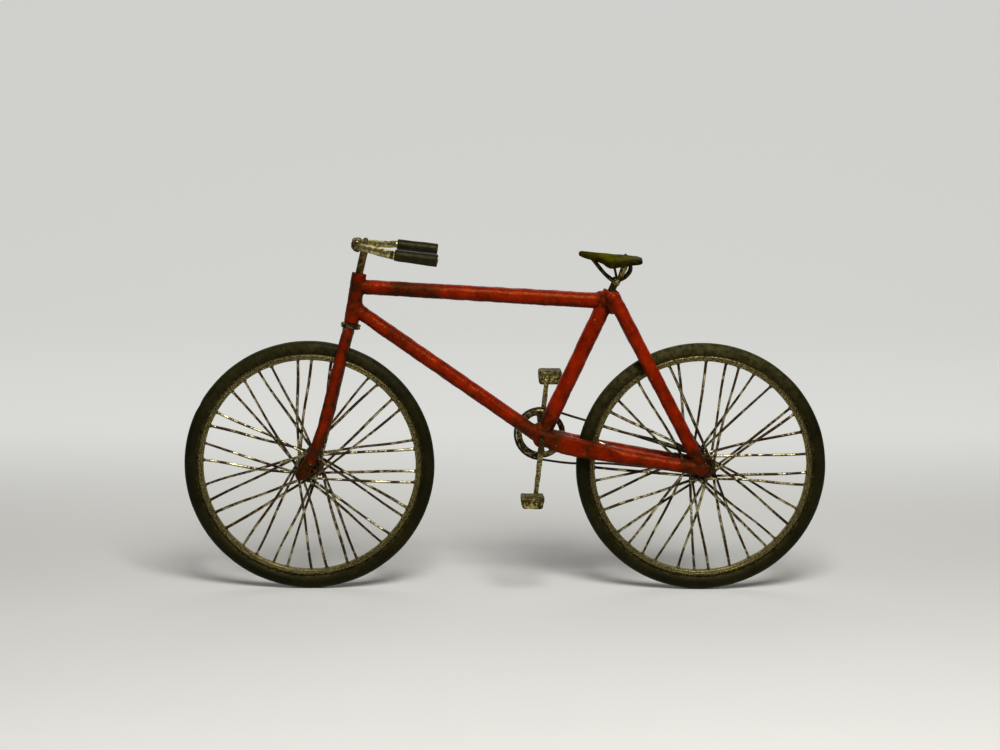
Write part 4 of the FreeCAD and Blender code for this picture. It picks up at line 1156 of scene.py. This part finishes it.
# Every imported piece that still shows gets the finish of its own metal
for shown, finish in (
        ("rear_axle", HUB_METAL), ("front_axle", HUB_METAL), ("seat_post", WIRE_METAL),
        ("steering_column", STEM_METAL), ("rear_sprocket", HUB_METAL), ("crank_axle", CRANK_METAL),
        ("pedal_pin_left", CRANK_METAL), ("pedal_pin_right", CRANK_METAL)):
    nodes[shown].data.materials.clear()
    nodes[shown].data.materials.append(finish)


# Floor, light and camera
PAPER_LIGHT = (0.80, 0.80, 0.775)


def floor():
    """A pale sheet that runs back and sweeps up behind the model."""
    profile = [at(0, 400, GROUND)]
    for step in range(13):
        angle = pi / 2 * step / 12
        profile.append(at(0, -260 - 160 * sin(angle), GROUND + 160 - 160 * cos(angle)))
    profile.append(at(0, -420, 600))
    count = len(profile)
    verts = [at(x, place.y, place.z) for x in (-900, 900) for place in profile]
    mesh = mesh_of("floor", verts, [(i, i + 1, i + 1 + count, i + count) for i in range(count - 1)])
    s = Shader("floor_paper")
    ray = {kind: s.add("LightPath", output="Is %s Ray" % kind) for kind in ("Camera", "Glossy", "Transmission")}
    seen = s.math("ADD", ray["Camera"], s.math("ADD", ray["Glossy"], ray["Transmission"]))
    paper = s.mix(s.noise(30, 2, 0.5), PAPER_LIGHT, (0.84, 0.84, 0.815))
    far = s.ramp(s.add("SeparateXYZ", {0: s.place}, "Y"), 0.0, -0.13)
    s.set(Base_Color=s.mix(seen, (0.30, 0.30, 0.27), s.mix(far, paper, (0.25, 0.25, 0.24))), Roughness=0.85)
    glow = s.math("MULTIPLY", far, s.math("MULTIPLY", seen, 0.72))
    s.set(Emission_Color=(*PAPER_LIGHT, 1), Emission_Strength=glow)
    s.set(Specular_IOR_Level=0.2, Normal=s.bump(s.noise(0.8, 3, 0.6), 0.15, 0.03))
    dress(mesh, s.material)
    linked("floor", mesh)


def light(name, place, size, power, colour):
    lamp = bpy.data.lights.new(name, "AREA")
    lamp.shape = "RECTANGLE"
    lamp.size, lamp.size_y = size[0] * MM, size[1] * MM
    lamp.energy = power
    lamp.color = colour
    made = linked(name, lamp)
    made.location = (Vector(place) + ORIGIN) * MM
    made.rotation_euler = ((at(5, 0, 6) + ORIGIN) * MM - made.location).to_track_quat("-Z", "Y").to_euler()


def camera():
    """Stands on the left of the model, a little above it, as the photographer did."""
    azimuth, elevation, roll = radians(180.49), radians(7.73), radians(0.252)
    distance = 280.0
    focal_pixels, picture_width, sensor_width = 2360.0, 1000, 36
    target = at(4.951, 0, 7.483) + ORIGIN
    look = at(sin(azimuth) * cos(elevation), cos(azimuth) * cos(elevation), -sin(elevation))
    right = at(cos(azimuth), -sin(azimuth), 0)
    up = right.cross(look)
    turned_right = right * cos(roll) + up * sin(roll)
    turned_up = up * cos(roll) - right * sin(roll)
    data = bpy.data.cameras.new("camera")
    data.sensor_width = sensor_width
    data.lens = focal_pixels * sensor_width / picture_width
    data.clip_start = 0.005
    data.clip_end = 10
    made = linked("camera", data)
    turn = Matrix((turned_right, turned_up, look * -1)).transposed().to_4x4()
    made.matrix_world = Matrix.Translation((target - look * distance) * MM) @ turn
    bpy.context.scene.camera = made


floor()
light("key", (-30, 180, 200), (120, 120), 0.70, (1.0, 0.985, 0.95))
light("fill", (190, 170, 60), (200, 200), 0.03, (1.0, 0.98, 0.94))
light("back", (20, -200, 200), (260, 160), 0.12, (1.0, 0.98, 0.95))
world = bpy.data.worlds.new("studio")
world.use_nodes = True
background = world.node_tree.nodes["Background"]
background.inputs["Color"].default_value = (0.95, 0.95, 0.93, 1)
background.inputs["Strength"].default_value = 0.05
bpy.context.scene.world = world
bpy.context.scene.view_settings.view_transform = "Standard"
camera()
